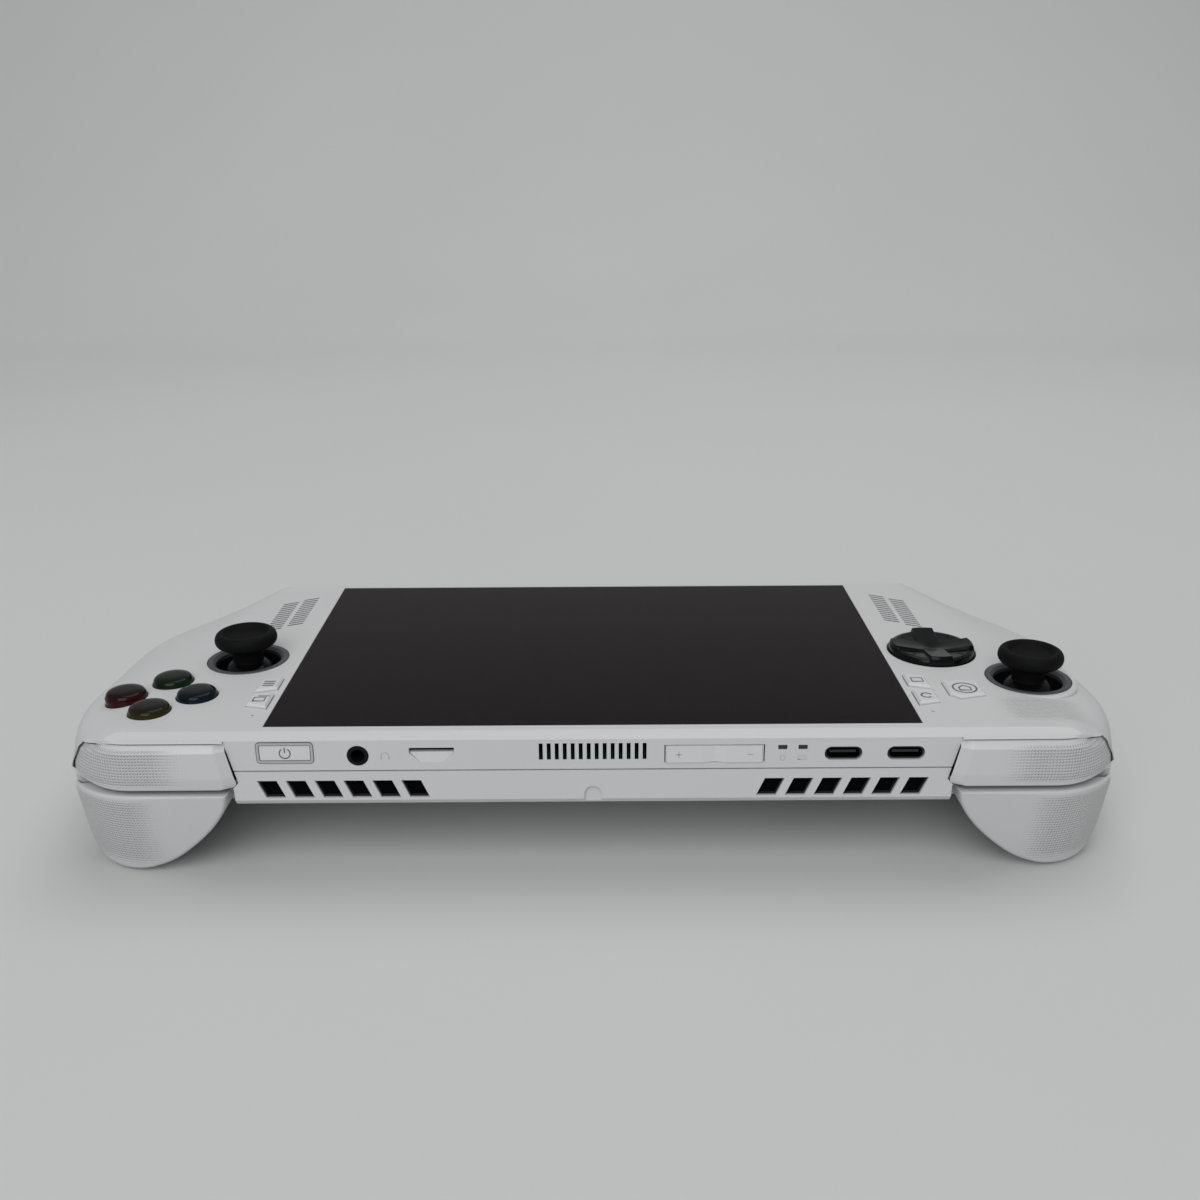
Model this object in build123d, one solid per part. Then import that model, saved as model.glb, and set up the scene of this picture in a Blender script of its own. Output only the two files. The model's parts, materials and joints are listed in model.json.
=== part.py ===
from build123d import *
import os
from math import cos, hypot, radians, sin

# A handheld game console lying on its back: the display looks up (+Z), the edge with the sockets
# and the shoulder buttons looks along -Y, and +X is the side that the player's left hand holds.
# Lengths are in millimetres.

# Overall size: the display's glass with a grip on each side, and the strips of case beside its edges
glass_half_width = 83.4
glass_half_depth = 52.78
grip_width = 62.0
near_border = 5.82
far_border = 4.22
bumper_proud = 2.15
overall_height = 50.7
face_z = 42.0
half_width = glass_half_width + grip_width
half_depth = glass_half_depth + near_border + bumper_proud
port_face_y = -glass_half_depth - near_border
far_face_y = glass_half_depth + far_border


def in_grip(shares, side=1):
    """Points seen from above, from shares of a grip's width and of half the depth."""
    return [(side * (glass_half_width + a * grip_width), b * half_depth) for a, b in shares]


def in_middle(shares):
    """Points seen from above, from shares of the glass's half width and of half the depth."""
    return [(a * glass_half_width, b * half_depth) for a, b in shares]


def up_grip(shares):
    """Points seen from the near side, from shares of a grip's width and of the face's height."""
    return [(glass_half_width + a * grip_width, b * face_z) for a, b in shares]


def along_and_up(shares):
    """Points seen from one side, from shares of half the depth and of the face's height."""
    return [(a * half_depth, b * face_z) for a, b in shares]


def grip_xs(shares):
    """Places across a grip."""
    return [glass_half_width + a * grip_width for a in shares]


def middle_xs(shares):
    """Places across the middle, from shares of the glass's half width."""
    return [a * glass_half_width for a in shares]


def case_xs(shares):
    """Places across the whole case."""
    return [a * half_width for a in shares]


def along(shares):
    """Places along the depth."""
    return [a * half_depth for a in shares]


# Case: heights, walls and edges
wall = 2.0
seam_near_z = 32.5
seam_far_z = 27.0
seam_gap = 0.35
bevel_depth = 3.3
bevel_drop = 1.1
back_bevel_depth = 1.6
back_bevel_drop = 2.0
back_edge_z = 24.2
far_bevel_depth = 2.5
far_notch_half_share = 0.65337
far_notch_half = case_xs([far_notch_half_share])[0]
far_notch_spread = 9.0
far_slope_top_z = 27.0
far_slope_depth = 12.0
far_slope_drop = 12.5
grip_foot_z = 0.0
overrun = 6.0

# Clearances
fit = 0.05
snug = 0.1
gap = 0.3
button_gap = 0.2

# Display
glass_thickness = 0.8
ledge = 3.0
panel_side_margin = 4.4
panel_end_margin = 6.58
panel_half_width = glass_half_width - panel_side_margin
panel_half_depth = glass_half_depth - panel_end_margin
panel_thickness = 2.0
frame_margin = 1.2
frame_half_width = glass_half_width + frame_margin
frame_near_y_share = -0.7078189
frame_near_y = along([frame_near_y_share])[0]
frame_far_y_share = 0.7654321
frame_far_y = along([frame_far_y_share])[0]
frame_plate = 1.0
frame_drop = 0.4
pillar_radius = 1.5
pillar_places_shares = ((0.9928058, 0.6584362), (0.9928058, 0.0), (0.9928058, -0.6666667))
pillar_places = in_middle(pillar_places_shares)

# Boards
board_top_z = 34.95
board_thickness = 1.2
main_board_margin = 1.4
main_board_half_width = glass_half_width - main_board_margin
main_board_setback = 2.4
main_board_near_y = port_face_y + main_board_setback
main_board_far_y_share = -0.1646091
main_board_far_y = along([main_board_far_y_share])[0]
main_tongue_half = 14.0
main_tongue_far_y_share = 0.1481481
main_tongue_far_y = along([main_tongue_far_y_share])[0]
control_board_outer_shares = ((0.6870968, -0.8032922), (0.7758065, -0.7078189), (0.8, -0.5925926),
                              (0.8, 0.1481481))
control_board_edge = 2.1
boss_radius = 2.0
board_stud_places_shares = ((0.3357314, -0.6584362), (0.911271, -0.6255144), (0.911271, -0.2633745),
                            (0.3357314, -0.2633745))
board_stud_places = in_middle(board_stud_places_shares)
control_boss_places_shares = ((0.4612903, 0.090535), (0.2193548, -0.7489712), (0.7354839, 0.0329218))
control_boss_places = in_grip(control_boss_places_shares)
chip_half = 9.0
chip_y_shares = (-0.691358, -0.4609053)
chip_y = along(chip_y_shares)
switch_radius = 1.2
switch_height = 1.3
side_switch_half = 1.6
side_switch_depth = 1.6
side_switch_height = 3.6

# Sticks
left_stick_place_shares = (0.5806452, -0.4098765)
left_stick_place = in_grip([left_stick_place_shares])[0]
right_stick_place_shares = (0.2548387, -0.1333333)
right_stick_place = in_grip([right_stick_place_shares], -1)[0]
ring_radius = 11.4
ring_opening = 9.1
ring_thickness = 1.8
ring_proud = 0.15
ring_bevel = 0.8
plateau_radius = 12.9
plateau_bevel = 0.5
plateau_depth = 6.0
stick_pivot_z = 34.0
dome_radius = 9.8
dome_wall = 1.2
dome_reach = 70.0
stem_radius = 1.6
stem_bottom_z = 32.4
neck_radius = 4.4
cap_radius = 8.7
cap_rim = 2.6
cap_dish_drop = 1.0
cap_ridge_radius = 6.2
cap_ridge = 0.35
yoke_half = 4.0
yoke_half_height = 2.2
yoke_slot_half = 2.6
trunnion_radius = 0.9
cross_pin_radius = 0.7
carriage_half = 6.0
carriage_round = 2.0
carriage_wall = 1.2
carriage_bottom_z = 27.6
carriage_top_z = 36.0
stick_base_half = 8.5
stick_base_bottom_z = 24.6
stick_base_top_z = 31.0
stick_base_floor = 1.9
stick_base_post = 3.0
board_stick_hole = 10.6
board_inner_x = -right_stick_place[0] - board_stick_hole - control_board_edge
control_board_outer = in_grip(control_board_outer_shares)
control_board_outline = [(board_inner_x, control_board_outer[0][1])] + control_board_outer
control_board_outline = control_board_outline + [(board_inner_x, control_board_outer[-1][1])]

# Direction pad
pad_place_shares = (0.2354839, -0.0806584)
pad_place = in_grip([pad_place_shares])[0]
pad_hole = 12.6
pad_radius = 12.0
pad_top_radius = 11.1
pad_rim_width = 0.9
pad_bottom_z = 40.0
pad_shoulder_z = 42.6
pad_rim_z = 44.4
pad_arm_half = 3.3
pad_arm_reach = 11.5
pad_arm_z = 45.5
pad_dish = 1.6
pad_dish_radius = 9.0
pad_pivot_z = 37.5
pad_lug_place = 4.2
pad_lug_half = 0.8
pad_lug_reach = 1.3
pad_pin_radius = 0.6
pad_hub_half = 1.6
carrier_lug_place = 6.4
carrier_plate = 0.6
carrier_half = 7.4

# Face buttons
face_centre_shares = (0.5177419, -0.5514403)
face_centre = in_grip([face_centre_shares], -1)[0]
face_pitch = 9.5
face_radius = 5.4
face_top_z = 44.8
face_crown = 0.8
face_edge_drop = 1.4
face_edge_width = 0.9
face_flange_radius = 6.0
face_flange_z = 36.5
face_flange_thickness = 0.8
face_well_radius = 3.4
face_well_depth = 1.2
mat_thickness = 0.35
mat_dome_radius = 2.6
mat_dome_height = 0.9
mat_disc_radius = 5.0
mat_bridge_half = 2.0

# Menu buttons: outlines from above
small_proud = 0.9
small_bevel = 0.5
small_bottom_z = 37.0
small_flange = 0.3
small_flange_z = 38.6
small_flange_thickness = 0.9
upper_outline_shares = ((0.0306452, -0.381893), (0.0306452, -0.4971193), (0.1225806, -0.5300412),
                        (0.1225806, -0.4032922))
upper_outline = in_grip(upper_outline_shares)
lower_outline_shares = ((0.0306452, -0.5580247), (0.0306452, -0.6962963), (0.1225806, -0.6699588),
                        (0.1225806, -0.5514403))
lower_outline = in_grip(lower_outline_shares)
home_outline_shares = ((0.183871, -0.4609053), (0.183871, -0.5958848), (0.2225806, -0.637037),
                       (0.3354839, -0.6041152), (0.3354839, -0.4609053))
home_outline = in_grip(home_outline_shares)

# Openings in the face
mic_place_shares = (0.0709677, -0.7588477)
mic_place = in_grip([mic_place_shares])[0]
mic_radius = 0.4
grille_columns_shares = (0.1064516, 0.1983871)
grille_columns = grip_xs(grille_columns_shares)
grille_far_y_shares = (0.7176955, 0.6518519)
grille_far_y = along(grille_far_y_shares)
grille_width = 4.4
grille_rows = 13
grille_pitch = 1.9
grille_slot = 0.95
grille_fall = 2.1

# Power button
power_x_share = -0.9214628
power_x = middle_xs([power_x_share])[0]
power_z = 37.6
power_width = 14.3
power_height = 5.8
power_round = 1.0
power_frame_wall = 0.75
power_frame_proud = 0.15
power_frame_depth = 1.5
power_flange = 0.5
power_flange_setback = 2.3
power_flange_y = port_face_y + power_flange_setback
power_flange_thickness = 0.8
power_travel = 0.5

# Volume rocker
rocker_x_share = 0.3651079
rocker_x = middle_xs([rocker_x_share])[0]
rocker_z = 36.75
rocker_width = 24.5
rocker_height = 4.5
rocker_proud = 0.5
rocker_setback = 1.7
rocker_back_y = port_face_y + rocker_setback
rocker_dip = 0.5
rocker_dip_half = 3.0
rocker_pin_setback = 3.6
rocker_pin_y = port_face_y + rocker_pin_setback
rocker_pin_radius = 0.6
rocker_stub_half = 1.6
rocker_stub_half_height = 1.6
rocker_stub_end = 1.0
rocker_bracket_half = 3.4
rocker_bracket_arm = 0.8
rocker_bracket_in = (5.2, 7.6)
rocker_bracket_y = [port_face_y + inwards for inwards in rocker_bracket_in]

# Sockets
jack_x_share = -0.7038369
jack_x = middle_xs([jack_x_share])[0]
jack_z = 36.7
jack_ring_radius = 2.65
jack_bore = 1.75
jack_length = 14.0
jack_back_wall = 0.7
jack_half_width = 3.2
jack_bottom_z = 33.9
jack_top_z = 38.9
jack_setback = 2.3
jack_body_y = port_face_y + jack_setback
jack_ear = 1.6
jack_ear_thickness = 1.0
jack_ear_in = (3.6, 12.6)
jack_ear_y = [port_face_y + inwards for inwards in jack_ear_in]
card_x_share = -0.4826139
card_x = middle_xs([card_x_share])[0]
card_z = 38.05
card_slot_width = 11.3
card_slot_height = 1.5
card_reader_half = 6.6
card_reader_top_z = 38.95
card_reader_in = (2.3, 15.2)
card_reader_y = [port_face_y + inwards for inwards in card_reader_in]
card_channel = 1.1
card_scoop_z = 34.8
card_scoop_narrow = 2.9
card_scoop_depth = 0.9
usb_places_shares = (0.751199, 0.9388489)
usb_places = middle_xs(usb_places_shares)
usb_z = 36.58
usb_width = 8.94
usb_height = 3.26
usb_shell = 0.3
usb_setback = 0.5
usb_front_y = port_face_y + usb_setback
usb_length = 10.5
usb_tongue_width = 6.69
usb_tongue_height = 0.7
usb_tongue_setback = 0.8
usb_floor = 3.0
usb_hole_margin = 0.25
light_places_shares = (0.5683453, 0.6288969)
light_places = middle_xs(light_places_shares)
light_z = 38.4
light_width = 2.1
light_height = 1.0
light_depth = 4.2
light_leg = 1.2

# Vents
centre_vent_count = 14
centre_vent_half = 13.45
centre_vent_slot = 1.0
centre_vent_z = (35.3, 39.8)
side_vent_count = 6
side_vent_first_x_share = 0.5191847
side_vent_first_x = middle_xs([side_vent_first_x_share])[0]
side_vent_pitch = 7.27
side_vent_width = 5.0
side_vent_z = (24.9, 29.75)
side_vent_slant = 2.1
notch_half = 2.2
notch_z = (23.3, 25.6)
notch_depth = 0.9
back_vent_count = 6
back_vent_first_x_share = 0.5395683
back_vent_first_x = middle_xs([back_vent_first_x_share])[0]
back_vent_pitch = 6.0
back_vent_width = 2.4
back_vent_y_shares = (-0.4938272, -0.1646091)
back_vent_y = along(back_vent_y_shares)
back_vent_slant = 3.0

# Bumpers
bumper_face_y = -half_depth
bumper_corner_x_share = 0.5258065
bumper_corner_x = grip_xs([bumper_corner_x_share])[0]
bumper_corner_radius = 22.5
bumper_end_shares = ((0.7725806, -0.854321), (0.8354839, -0.8230453))
bumper_end = in_grip(bumper_end_shares)
bumper_back_y_share = -0.8609053
bumper_back_y = along([bumper_back_y_share])[0]
bumper_outline_shares = ((0.1435484, 0.9761905), (0.1048387, 0.6952381), (0.1370968, 0.6595238),
                         (0.5580645, 0.6595238), (0.8580645, 0.6880952), (0.8403226, 0.7619048),
                         (0.7516129, 0.9190476), (0.6225806, 0.9761905))
bumper_outline = up_grip(bumper_outline_shares)
bumper_skin = 1.35
bumper_roof_z = 39.3
bumper_wall = 1.6
bumper_facet_width = 3.4
bumper_facet_depth = 1.0
bumper_pivot_shares = (0.2112903, -0.9251029)
bumper_pivot = in_grip([bumper_pivot_shares])[0]
bumper_pin_radius = 1.0
bumper_pin_bottom_z = 28.1
pocket_roof_z = 39.8
pocket_back_y_share = -0.8460905
pocket_back_y = along([pocket_back_y_share])[0]
pocket_inner_shares = ((0.1370968, 0.947619), (0.0951613, 0.697619), (0.1274194, 0.6428571))
pocket_inner = up_grip(pocket_inner_shares)
pocket_end_gap = 0.85
corner_gap = 0.6

# Triggers
trigger_pocket_x_share = 0.116129
trigger_pocket_x = grip_xs([trigger_pocket_x_share])[0]
trigger_pocket_profile_shares = ((-0.727572, 0.652381), (-0.6814815, 0.2857143), (-0.6502058, 0.0))
trigger_pocket_profile = along_and_up(trigger_pocket_profile_shares)
trigger_face_y_share = -0.9909465
trigger_face_y = along([trigger_face_y_share])[0]
trigger_lean = 7.0
trigger_top_z = 26.3
trigger_outline_shares = ((0.1306452, 0.6261905), (0.1645161, 0.4952381), (0.2354839, 0.352381),
                          (0.3322581, 0.2047619), (0.4306452, 0.0928571), (0.5258065, 0.0357143),
                          (0.6064516, 0.0166667), (0.6870968, 0.0214286), (0.7629032, 0.052381),
                          (0.8258065, 0.1333333), (0.8677419, 0.25), (0.8870968, 0.4047619),
                          (0.8903226, 0.6261905))
trigger_outline = up_grip(trigger_outline_shares)
trigger_wall = 1.8
trigger_back_shares = ((-0.8641975, 0.6261905), (-0.8641975, 0.5785714), (-0.7572016, 0.4880952),
                       (-0.7506173, 0.0))
trigger_back = along_and_up(trigger_back_shares)
trigger_pivot_shares = (-0.872428, 0.5238095)
trigger_pivot = along_and_up([trigger_pivot_shares])[0]
trigger_pin_radius = 1.0
trigger_lug_places_shares = (0.2435484, 0.6629032)
trigger_lug_places = grip_xs(trigger_lug_places_shares)
bracket_lug_places_shares = (0.3080645, 0.5983871)
bracket_lug_places = grip_xs(bracket_lug_places_shares)
lug_half = 1.5
lug_radius = 2.0
bracket_x_shares = (0.1806452, 0.6387097)
bracket_x = grip_xs(bracket_x_shares)
bracket_y_shares = (-0.8460905, -0.7440329)
bracket_y = along(bracket_y_shares)
bracket_plate = 1.5
bracket_lug_back_y_share = -0.7736626
bracket_lug_back_y = along([bracket_lug_back_y_share])[0]

# Back buttons
back_button_x_share = 0.6258597
back_button_x = case_xs([back_button_x_share])[0]
back_button_y_share = 0.1975309
back_button_y = along([back_button_y_share])[0]
back_button_width = 8.0
back_button_depth = 24.0
back_button_proud = 1.2
back_button_thickness = 5.0
back_button_flange = 0.9
back_button_flange_z = 16.9
back_button_round = 1.0

# Cooling, power and sound
fan_x_share = 0.7194245
fan_x = middle_xs([fan_x_share])[0]
fan_y_share = -0.3292181
fan_y = along([fan_y_share])[0]
fan_half = 21.0
fan_bottom_z = 20.0
fan_height = 7.5
fan_wall = 1.0
fan_inlet = 14.0
fan_cavity = 19.4
fan_shaft = 1.0
fan_foot_inset = 2.5
rotor_radius = 18.4
rotor_hub = 8.0
rotor_hub_top = 1.2
rotor_height = 4.6
rotor_lift = 0.4
blade_count = 21
blade_thickness = 0.6
fin_x_shares = (0.5035971, 1.0071942)
fin_x = middle_xs(fin_x_shares)
fin_in = (2.6, 11.4)
fin_y = [port_face_y + inwards for inwards in fin_in]
fin_z = (24.6, 31.1)
fin_count = 18
fin_thickness = 0.5
fin_plate = 0.4
pipe_in = (8.0, 12.0)
pipe_y = [port_face_y + inwards for inwards in pipe_in]
pipe_z = (31.3, 33.4)
spreader_half = 19.0
spreader_far_share = -0.3950617
spreader_y = (pipe_y[1], spreader_far_share * half_depth)
spreader_thickness = 1.6
drive_half = 11.0
drive_y_shares = (-0.345679, 0.0987654)
drive_y = along(drive_y_shares)
drive_z = (30.6, 33.4)
drive_connector_depth = 3.5
battery_y_shares = (0.090535, 0.7078189)
battery_y = along(battery_y_shares)
battery_z = (17.0, 24.6)
battery_cells = 3
battery_groove = 0.6
speaker_x_shares = (0.1, 0.283871)
speaker_x = grip_xs(speaker_x_shares)
speaker_y_shares = (0.2469136, 0.7242798)
speaker_y = along(speaker_y_shares)
speaker_z = (31.0, 39.7)
speaker_cone_radius = 4.4
speaker_cone_depth = 0.5
motor_x_share = 0.6548387
motor_x = grip_xs([motor_x_share])[0]
motor_y_share = 0.2304527
motor_y = along([motor_y_share])[0]
motor_z = 12.0
motor_radius = 4.0
motor_length = 12.0
motor_cradle_half = 5.0
motor_cradle_length = 6.0
far_screw_place_shares = (0.8393285, 0.6255144)
far_screw_place = in_middle([far_screw_place_shares])[0]
near_screw_x = 16.0
near_screw_setback = 5.2
near_screw_place = (near_screw_x, port_face_y + near_screw_setback)
grip_screw_place_shares = (0.5741935, 0.5102881)
grip_screw_place = in_grip([grip_screw_place_shares])[0]
screw_head_z = (19.5, 25.5, 20.0)
screw_head_radius = 1.5
screw_head_height = 1.0
screw_radius = 0.8
screw_recess_radius = 1.7
screw_boss_radius = 2.4
screw_bite = 4.0

battery_side_gap = 5.6
battery_half_width = far_screw_place[0] - screw_boss_radius - battery_side_gap

# The case's outline at places along its depth. Each row gives the place as a share of half the
# depth, the height of the flat back as a share of the face height, and then points from the edge
# of the flat face round the grip to the edge of the flat back, as shares of half the width and of
# the face height.
station_shares = (
    (-0.965, 0.545, ((0.770, 1.0), (0.825, 0.986), (0.868, 0.924), (0.887, 0.738), (0.881, 0.571),
                     (0.832, 0.452), (0.743, 0.429), (0.674, 0.462), (0.633, 0.502))),
    (-0.724, 0.388, ((0.777, 1.0), (0.856, 0.979), (0.918, 0.888), (0.940, 0.679), (0.937, 0.381),
                     (0.911, 0.107), (0.798, 0.060), (0.715, 0.214), (0.657, 0.360))),
    (-0.543, 0.345, ((0.777, 1.0), (0.870, 0.976), (0.937, 0.895), (0.966, 0.690), (0.962, 0.333),
                     (0.921, 0.029), (0.805, -0.002), (0.726, 0.143), (0.667, 0.333))),
    (-0.263, 0.345, ((0.770, 1.0), (0.870, 0.974), (0.946, 0.867), (0.988, 0.679), (0.981, 0.286),
                     (0.924, 0.0), (0.812, -0.007), (0.732, 0.119), (0.671, 0.333))),
    (0.033, 0.345, ((0.757, 1.0), (0.856, 0.962), (0.940, 0.848), (0.991, 0.662), (0.982, 0.274),
                    (0.924, 0.0), (0.812, -0.007), (0.732, 0.119), (0.674, 0.333))),
    (0.329, 0.345, ((0.743, 1.0), (0.839, 0.943), (0.931, 0.838), (0.981, 0.648), (0.970, 0.262),
                    (0.914, 0.0), (0.808, -0.007), (0.736, 0.119), (0.677, 0.333))),
    (0.626, 0.348, ((0.722, 1.0), (0.808, 0.919), (0.893, 0.800), (0.958, 0.617), (0.946, 0.274),
                    (0.896, 0.048), (0.803, 0.033), (0.737, 0.143), (0.684, 0.336))),
    (0.823, 0.362, ((0.703, 1.0), (0.776, 0.905), (0.860, 0.766), (0.923, 0.583), (0.912, 0.310),
                    (0.871, 0.143), (0.798, 0.119), (0.743, 0.214), (0.695, 0.350))),
    (0.930, 0.393, ((0.688, 1.0), (0.749, 0.886), (0.830, 0.738), (0.898, 0.569), (0.886, 0.369),
                    (0.851, 0.238), (0.794, 0.229), (0.750, 0.298), (0.705, 0.381))),
    (1.0, 0.452, ((0.662, 1.0), (0.724, 0.852), (0.804, 0.695), (0.862, 0.548), (0.858, 0.417),
                  (0.829, 0.321), (0.787, 0.314), (0.753, 0.369), (0.719, 0.440))),
)

# Sides of the object: the player's left hand holds +X
sides = (("left", 1), ("right", -1))
stick_places = {"left": left_stick_place, "right": right_stick_place}

# Heights and places worked out from the sizes above
inner_top_z = face_z - wall
glass_bottom_z = face_z - glass_thickness
panel_bottom_z = glass_bottom_z - panel_thickness
frame_top_z = panel_bottom_z - frame_drop
frame_bottom_z = frame_top_z - frame_plate
board_bottom_z = board_top_z - board_thickness
inner_face_y = port_face_y + wall
seam_slope = (seam_far_z - seam_near_z) / (half_depth - port_face_y)
corner_centre_y = bumper_face_y + bumper_corner_radius
end_slope = (bumper_end[1][1] - bumper_end[0][1]) / (bumper_end[1][0] - bumper_end[0][0])
far_x = half_width + overrun
near_y = -half_depth - overrun
far_y = half_depth + overrun


def seam_z(y):
    """Height of the seam between the two shells at a place along the depth."""
    return seam_near_z + seam_slope * (y - port_face_y)


def block(x0, x1, y0, y1, z0, z1):
    """A box between two corners."""
    return Pos((x0 + x1) / 2, (y0 + y1) / 2, (z0 + z1) / 2) * Box(x1 - x0, y1 - y0, z1 - z0)


def drum(x, y, z0, z1, radius):
    """An upright cylinder between two heights."""
    return Pos(x, y, (z0 + z1) / 2) * Cylinder(radius, z1 - z0)


def rod_x(x0, x1, y, z, radius):
    """A cylinder along the width."""
    return Pos((x0 + x1) / 2, y, z) * Rot(0, 90, 0) * Cylinder(radius, x1 - x0)


def rod_y(x, y0, y1, z, radius):
    """A cylinder along the depth."""
    return Pos(x, (y0 + y1) / 2, z) * Rot(90, 0, 0) * Cylinder(radius, y1 - y0)


def prism_z(points, z0, z1, grown=0):
    """A polygon drawn from above, grown all round by a distance and raised between two heights."""
    face = make_face(Polyline(*[(x, y, z0) for x, y in points], close=True))
    if grown:
        face = offset(face, grown, kind=Kind.INTERSECTION)
    return extrude(face, z1 - z0, dir=(0, 0, 1))


def prism_y(points, y0, y1, grown=0):
    """A polygon of (x, z) points, grown by a distance and carried along the depth."""
    face = make_face(Polyline(*[(x, y0, z) for x, z in points], close=True))
    if grown:
        face = offset(face, grown, kind=Kind.INTERSECTION)
    return extrude(face, y1 - y0, dir=(0, 1, 0))


def prism_x(points, x0, x1):
    """A polygon of (y, z) points, carried between two places along the width."""
    face = make_face(Polyline(*[(x0, y, z) for y, z in points], close=True))
    return extrude(face, x1 - x0, dir=(1, 0, 0))


def bar_y(x, z, width, height, radius, y0, y1):
    """A bar along the depth with a rounded rectangular section."""
    plane = Plane(origin=(x, y0, z), x_dir=(1, 0, 0), z_dir=(0, 1, 0))
    return extrude(plane * RectangleRounded(width, height, radius), y1 - y0, dir=(0, 1, 0))


def turned(points, x, y, z):
    """A solid turned about an upright axis from a closed outline of (radius, height) points."""
    face = make_face(Polyline(*[(r, 0, h) for r, h in points], close=True))
    return Pos(x, y, z) * revolve(face, Axis.Z)


def on_side(shape, side):
    """The shape itself for the +X side, or its mirror image for the -X side."""
    return shape if side > 0 else mirror(shape, about=Plane.YZ)


def flipped(points, side):
    """Outline points for the +X side, or their mirror image for the -X side."""
    return tuple((side * x, y) for x, y in points)


def both_sides(places):
    """Places given for the +X side, together with their mirror images."""
    return [(side * x, y) for side in (1, -1) for x, y in places]


def save(shape, name):
    export_step(shape, "parts/" + name + ".step")


def inset_points(points, distance):
    """Move each outline point inwards, square to the line through its neighbours."""
    moved = []
    last = len(points) - 1
    for i, (x, z) in enumerate(points):
        dx, dz = 1, 0
        if i == last:
            dx = -1
        if 0 < i < last:
            dx = points[i + 1][0] - points[i - 1][0]
            dz = points[i + 1][1] - points[i - 1][1]
        length = hypot(dx, dz)
        moved.append((x + distance * dz / length, z - distance * dx / length))
    return moved


def case_half(distance):
    """The +X half of the case as one solid, drawn in by a distance round its long outline."""
    sections = []
    for y_share, back_share, shares in station_shares:
        y = y_share * half_depth
        points = [(sx * half_width, grip_foot_z + sz * (face_z - grip_foot_z)) for sx, sz in shares]
        points[-1] = (points[-1][0], grip_foot_z + back_share * (face_z - grip_foot_z))
        points = [Vector(x, y, z) for x, z in inset_points(points, distance)]
        out = Vector(1, 0, 0)
        top = Vector(0, y, points[0].Z)
        back = Vector(0, y, points[-1].Z)
        sections.append(Wire([
            Edge.make_line(back, top),
            Edge.make_line(top, points[0]),
            Edge.make_spline(points, tangents=[out, -out]),
            Edge.make_line(points[-1], back),
        ]))
    return Part() + Solid.make_loft(sections)


def far_notch(distance):
    """What the flat middle lacks beyond its far face, drawn in by a distance."""
    near = far_face_y - distance
    half = far_notch_half + distance
    low_z = -overrun
    steep = far_slope_depth / far_slope_drop
    points = ((-half - far_notch_spread, far_y), (-half, near), (half, near), (half + far_notch_spread, far_y))
    slope = prism_x(((far_y, far_slope_top_z + (far_y - near) / steep),
                     (near - (far_slope_top_z - low_z) * steep, low_z), (far_y, low_z)), -half, half)
    return prism_z(points, -overrun, face_z + overrun) + slope


def edge_bevels():
    """The slopes along the near edge and the far edge of the face, and under the near edge."""
    over_z = face_z + overrun
    low_z = face_z - bevel_drop
    near_top = prism_x(((port_face_y + bevel_depth, face_z), (port_face_y, low_z), (near_y, low_z),
                        (near_y, over_z), (port_face_y + bevel_depth, over_z)), -far_x, far_x)
    fall = bevel_drop / far_bevel_depth
    far_top = prism_x(((far_face_y - far_bevel_depth, face_z), (far_y, low_z - fall * (far_y - far_face_y)),
                       (far_y, over_z), (far_face_y - far_bevel_depth, over_z)), -far_x, far_x)
    rise = back_bevel_drop / back_bevel_depth
    near_back = prism_x(((near_y, back_edge_z + rise * (port_face_y - near_y)), (port_face_y, back_edge_z),
                         (port_face_y + back_bevel_depth, back_edge_z - back_bevel_drop),
                         (port_face_y + back_bevel_depth, -overrun), (near_y, -overrun)), -far_x, far_x)
    return [near_top, far_top, near_back]


def bumper_reach(back_y, end_gap):
    """The depth that a bumper takes, from above: back to a line, and to a slanted outer end."""
    corner_x = bumper_end[0][0] + (back_y - bumper_end[0][1] - end_gap) / end_slope
    return prism_z(((0, near_y), (far_x, near_y), (far_x, back_y + end_slope * (far_x - corner_x)),
                    (corner_x, back_y), (0, back_y)), -overrun, face_z + overrun)


def shoulder_plan(front_y, radius, z):
    """A face from above with a straight front and a round outer corner, for the +X side."""
    centre_y = front_y + radius
    slant = radians(90 / 2)
    corner = Vector(bumper_corner_x, front_y, z)
    middle = Vector(bumper_corner_x + radius * sin(slant), centre_y - radius * cos(slant), z)
    outer = Vector(bumper_corner_x + radius, centre_y, z)
    inner_x = pocket_inner[1][0] - overrun
    front = Vector(inner_x, front_y, z)
    back = Vector(inner_x, centre_y, z)
    return Face(Wire([Edge.make_line(back, front), Edge.make_line(front, corner),
                      Edge.make_three_point_arc(corner, middle, outer), Edge.make_line(outer, back)]))


def bumper_pocket(grown):
    """The space that a bumper swings in, made larger by a distance, for the +X side."""
    roof_z = pocket_roof_z + grown
    inner = ((pocket_inner[0][0] - grown, roof_z), (pocket_inner[1][0] - grown, pocket_inner[1][1]),
             (pocket_inner[2][0] - grown, pocket_inner[2][1] - grown), (far_x, pocket_inner[2][1] - grown),
             (far_x, roof_z))
    return bumper_reach(pocket_back_y + grown, pocket_end_gap + grown) & prism_y(inner, near_y, 0)


def corner_pocket():
    """The outer corner of the case that a bumper's lip takes the place of, for the +X side."""
    radius = bumper_corner_radius - bumper_skin - corner_gap
    low_z = pocket_roof_z - gap
    whole = bumper_reach(pocket_back_y, pocket_end_gap) & block(bumper_corner_x, far_x, near_y, 0, low_z,
                                                                face_z + overrun)
    kept = drum(bumper_corner_x, corner_centre_y, low_z - overrun, face_z + overrun, radius)
    return whole - kept


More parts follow.
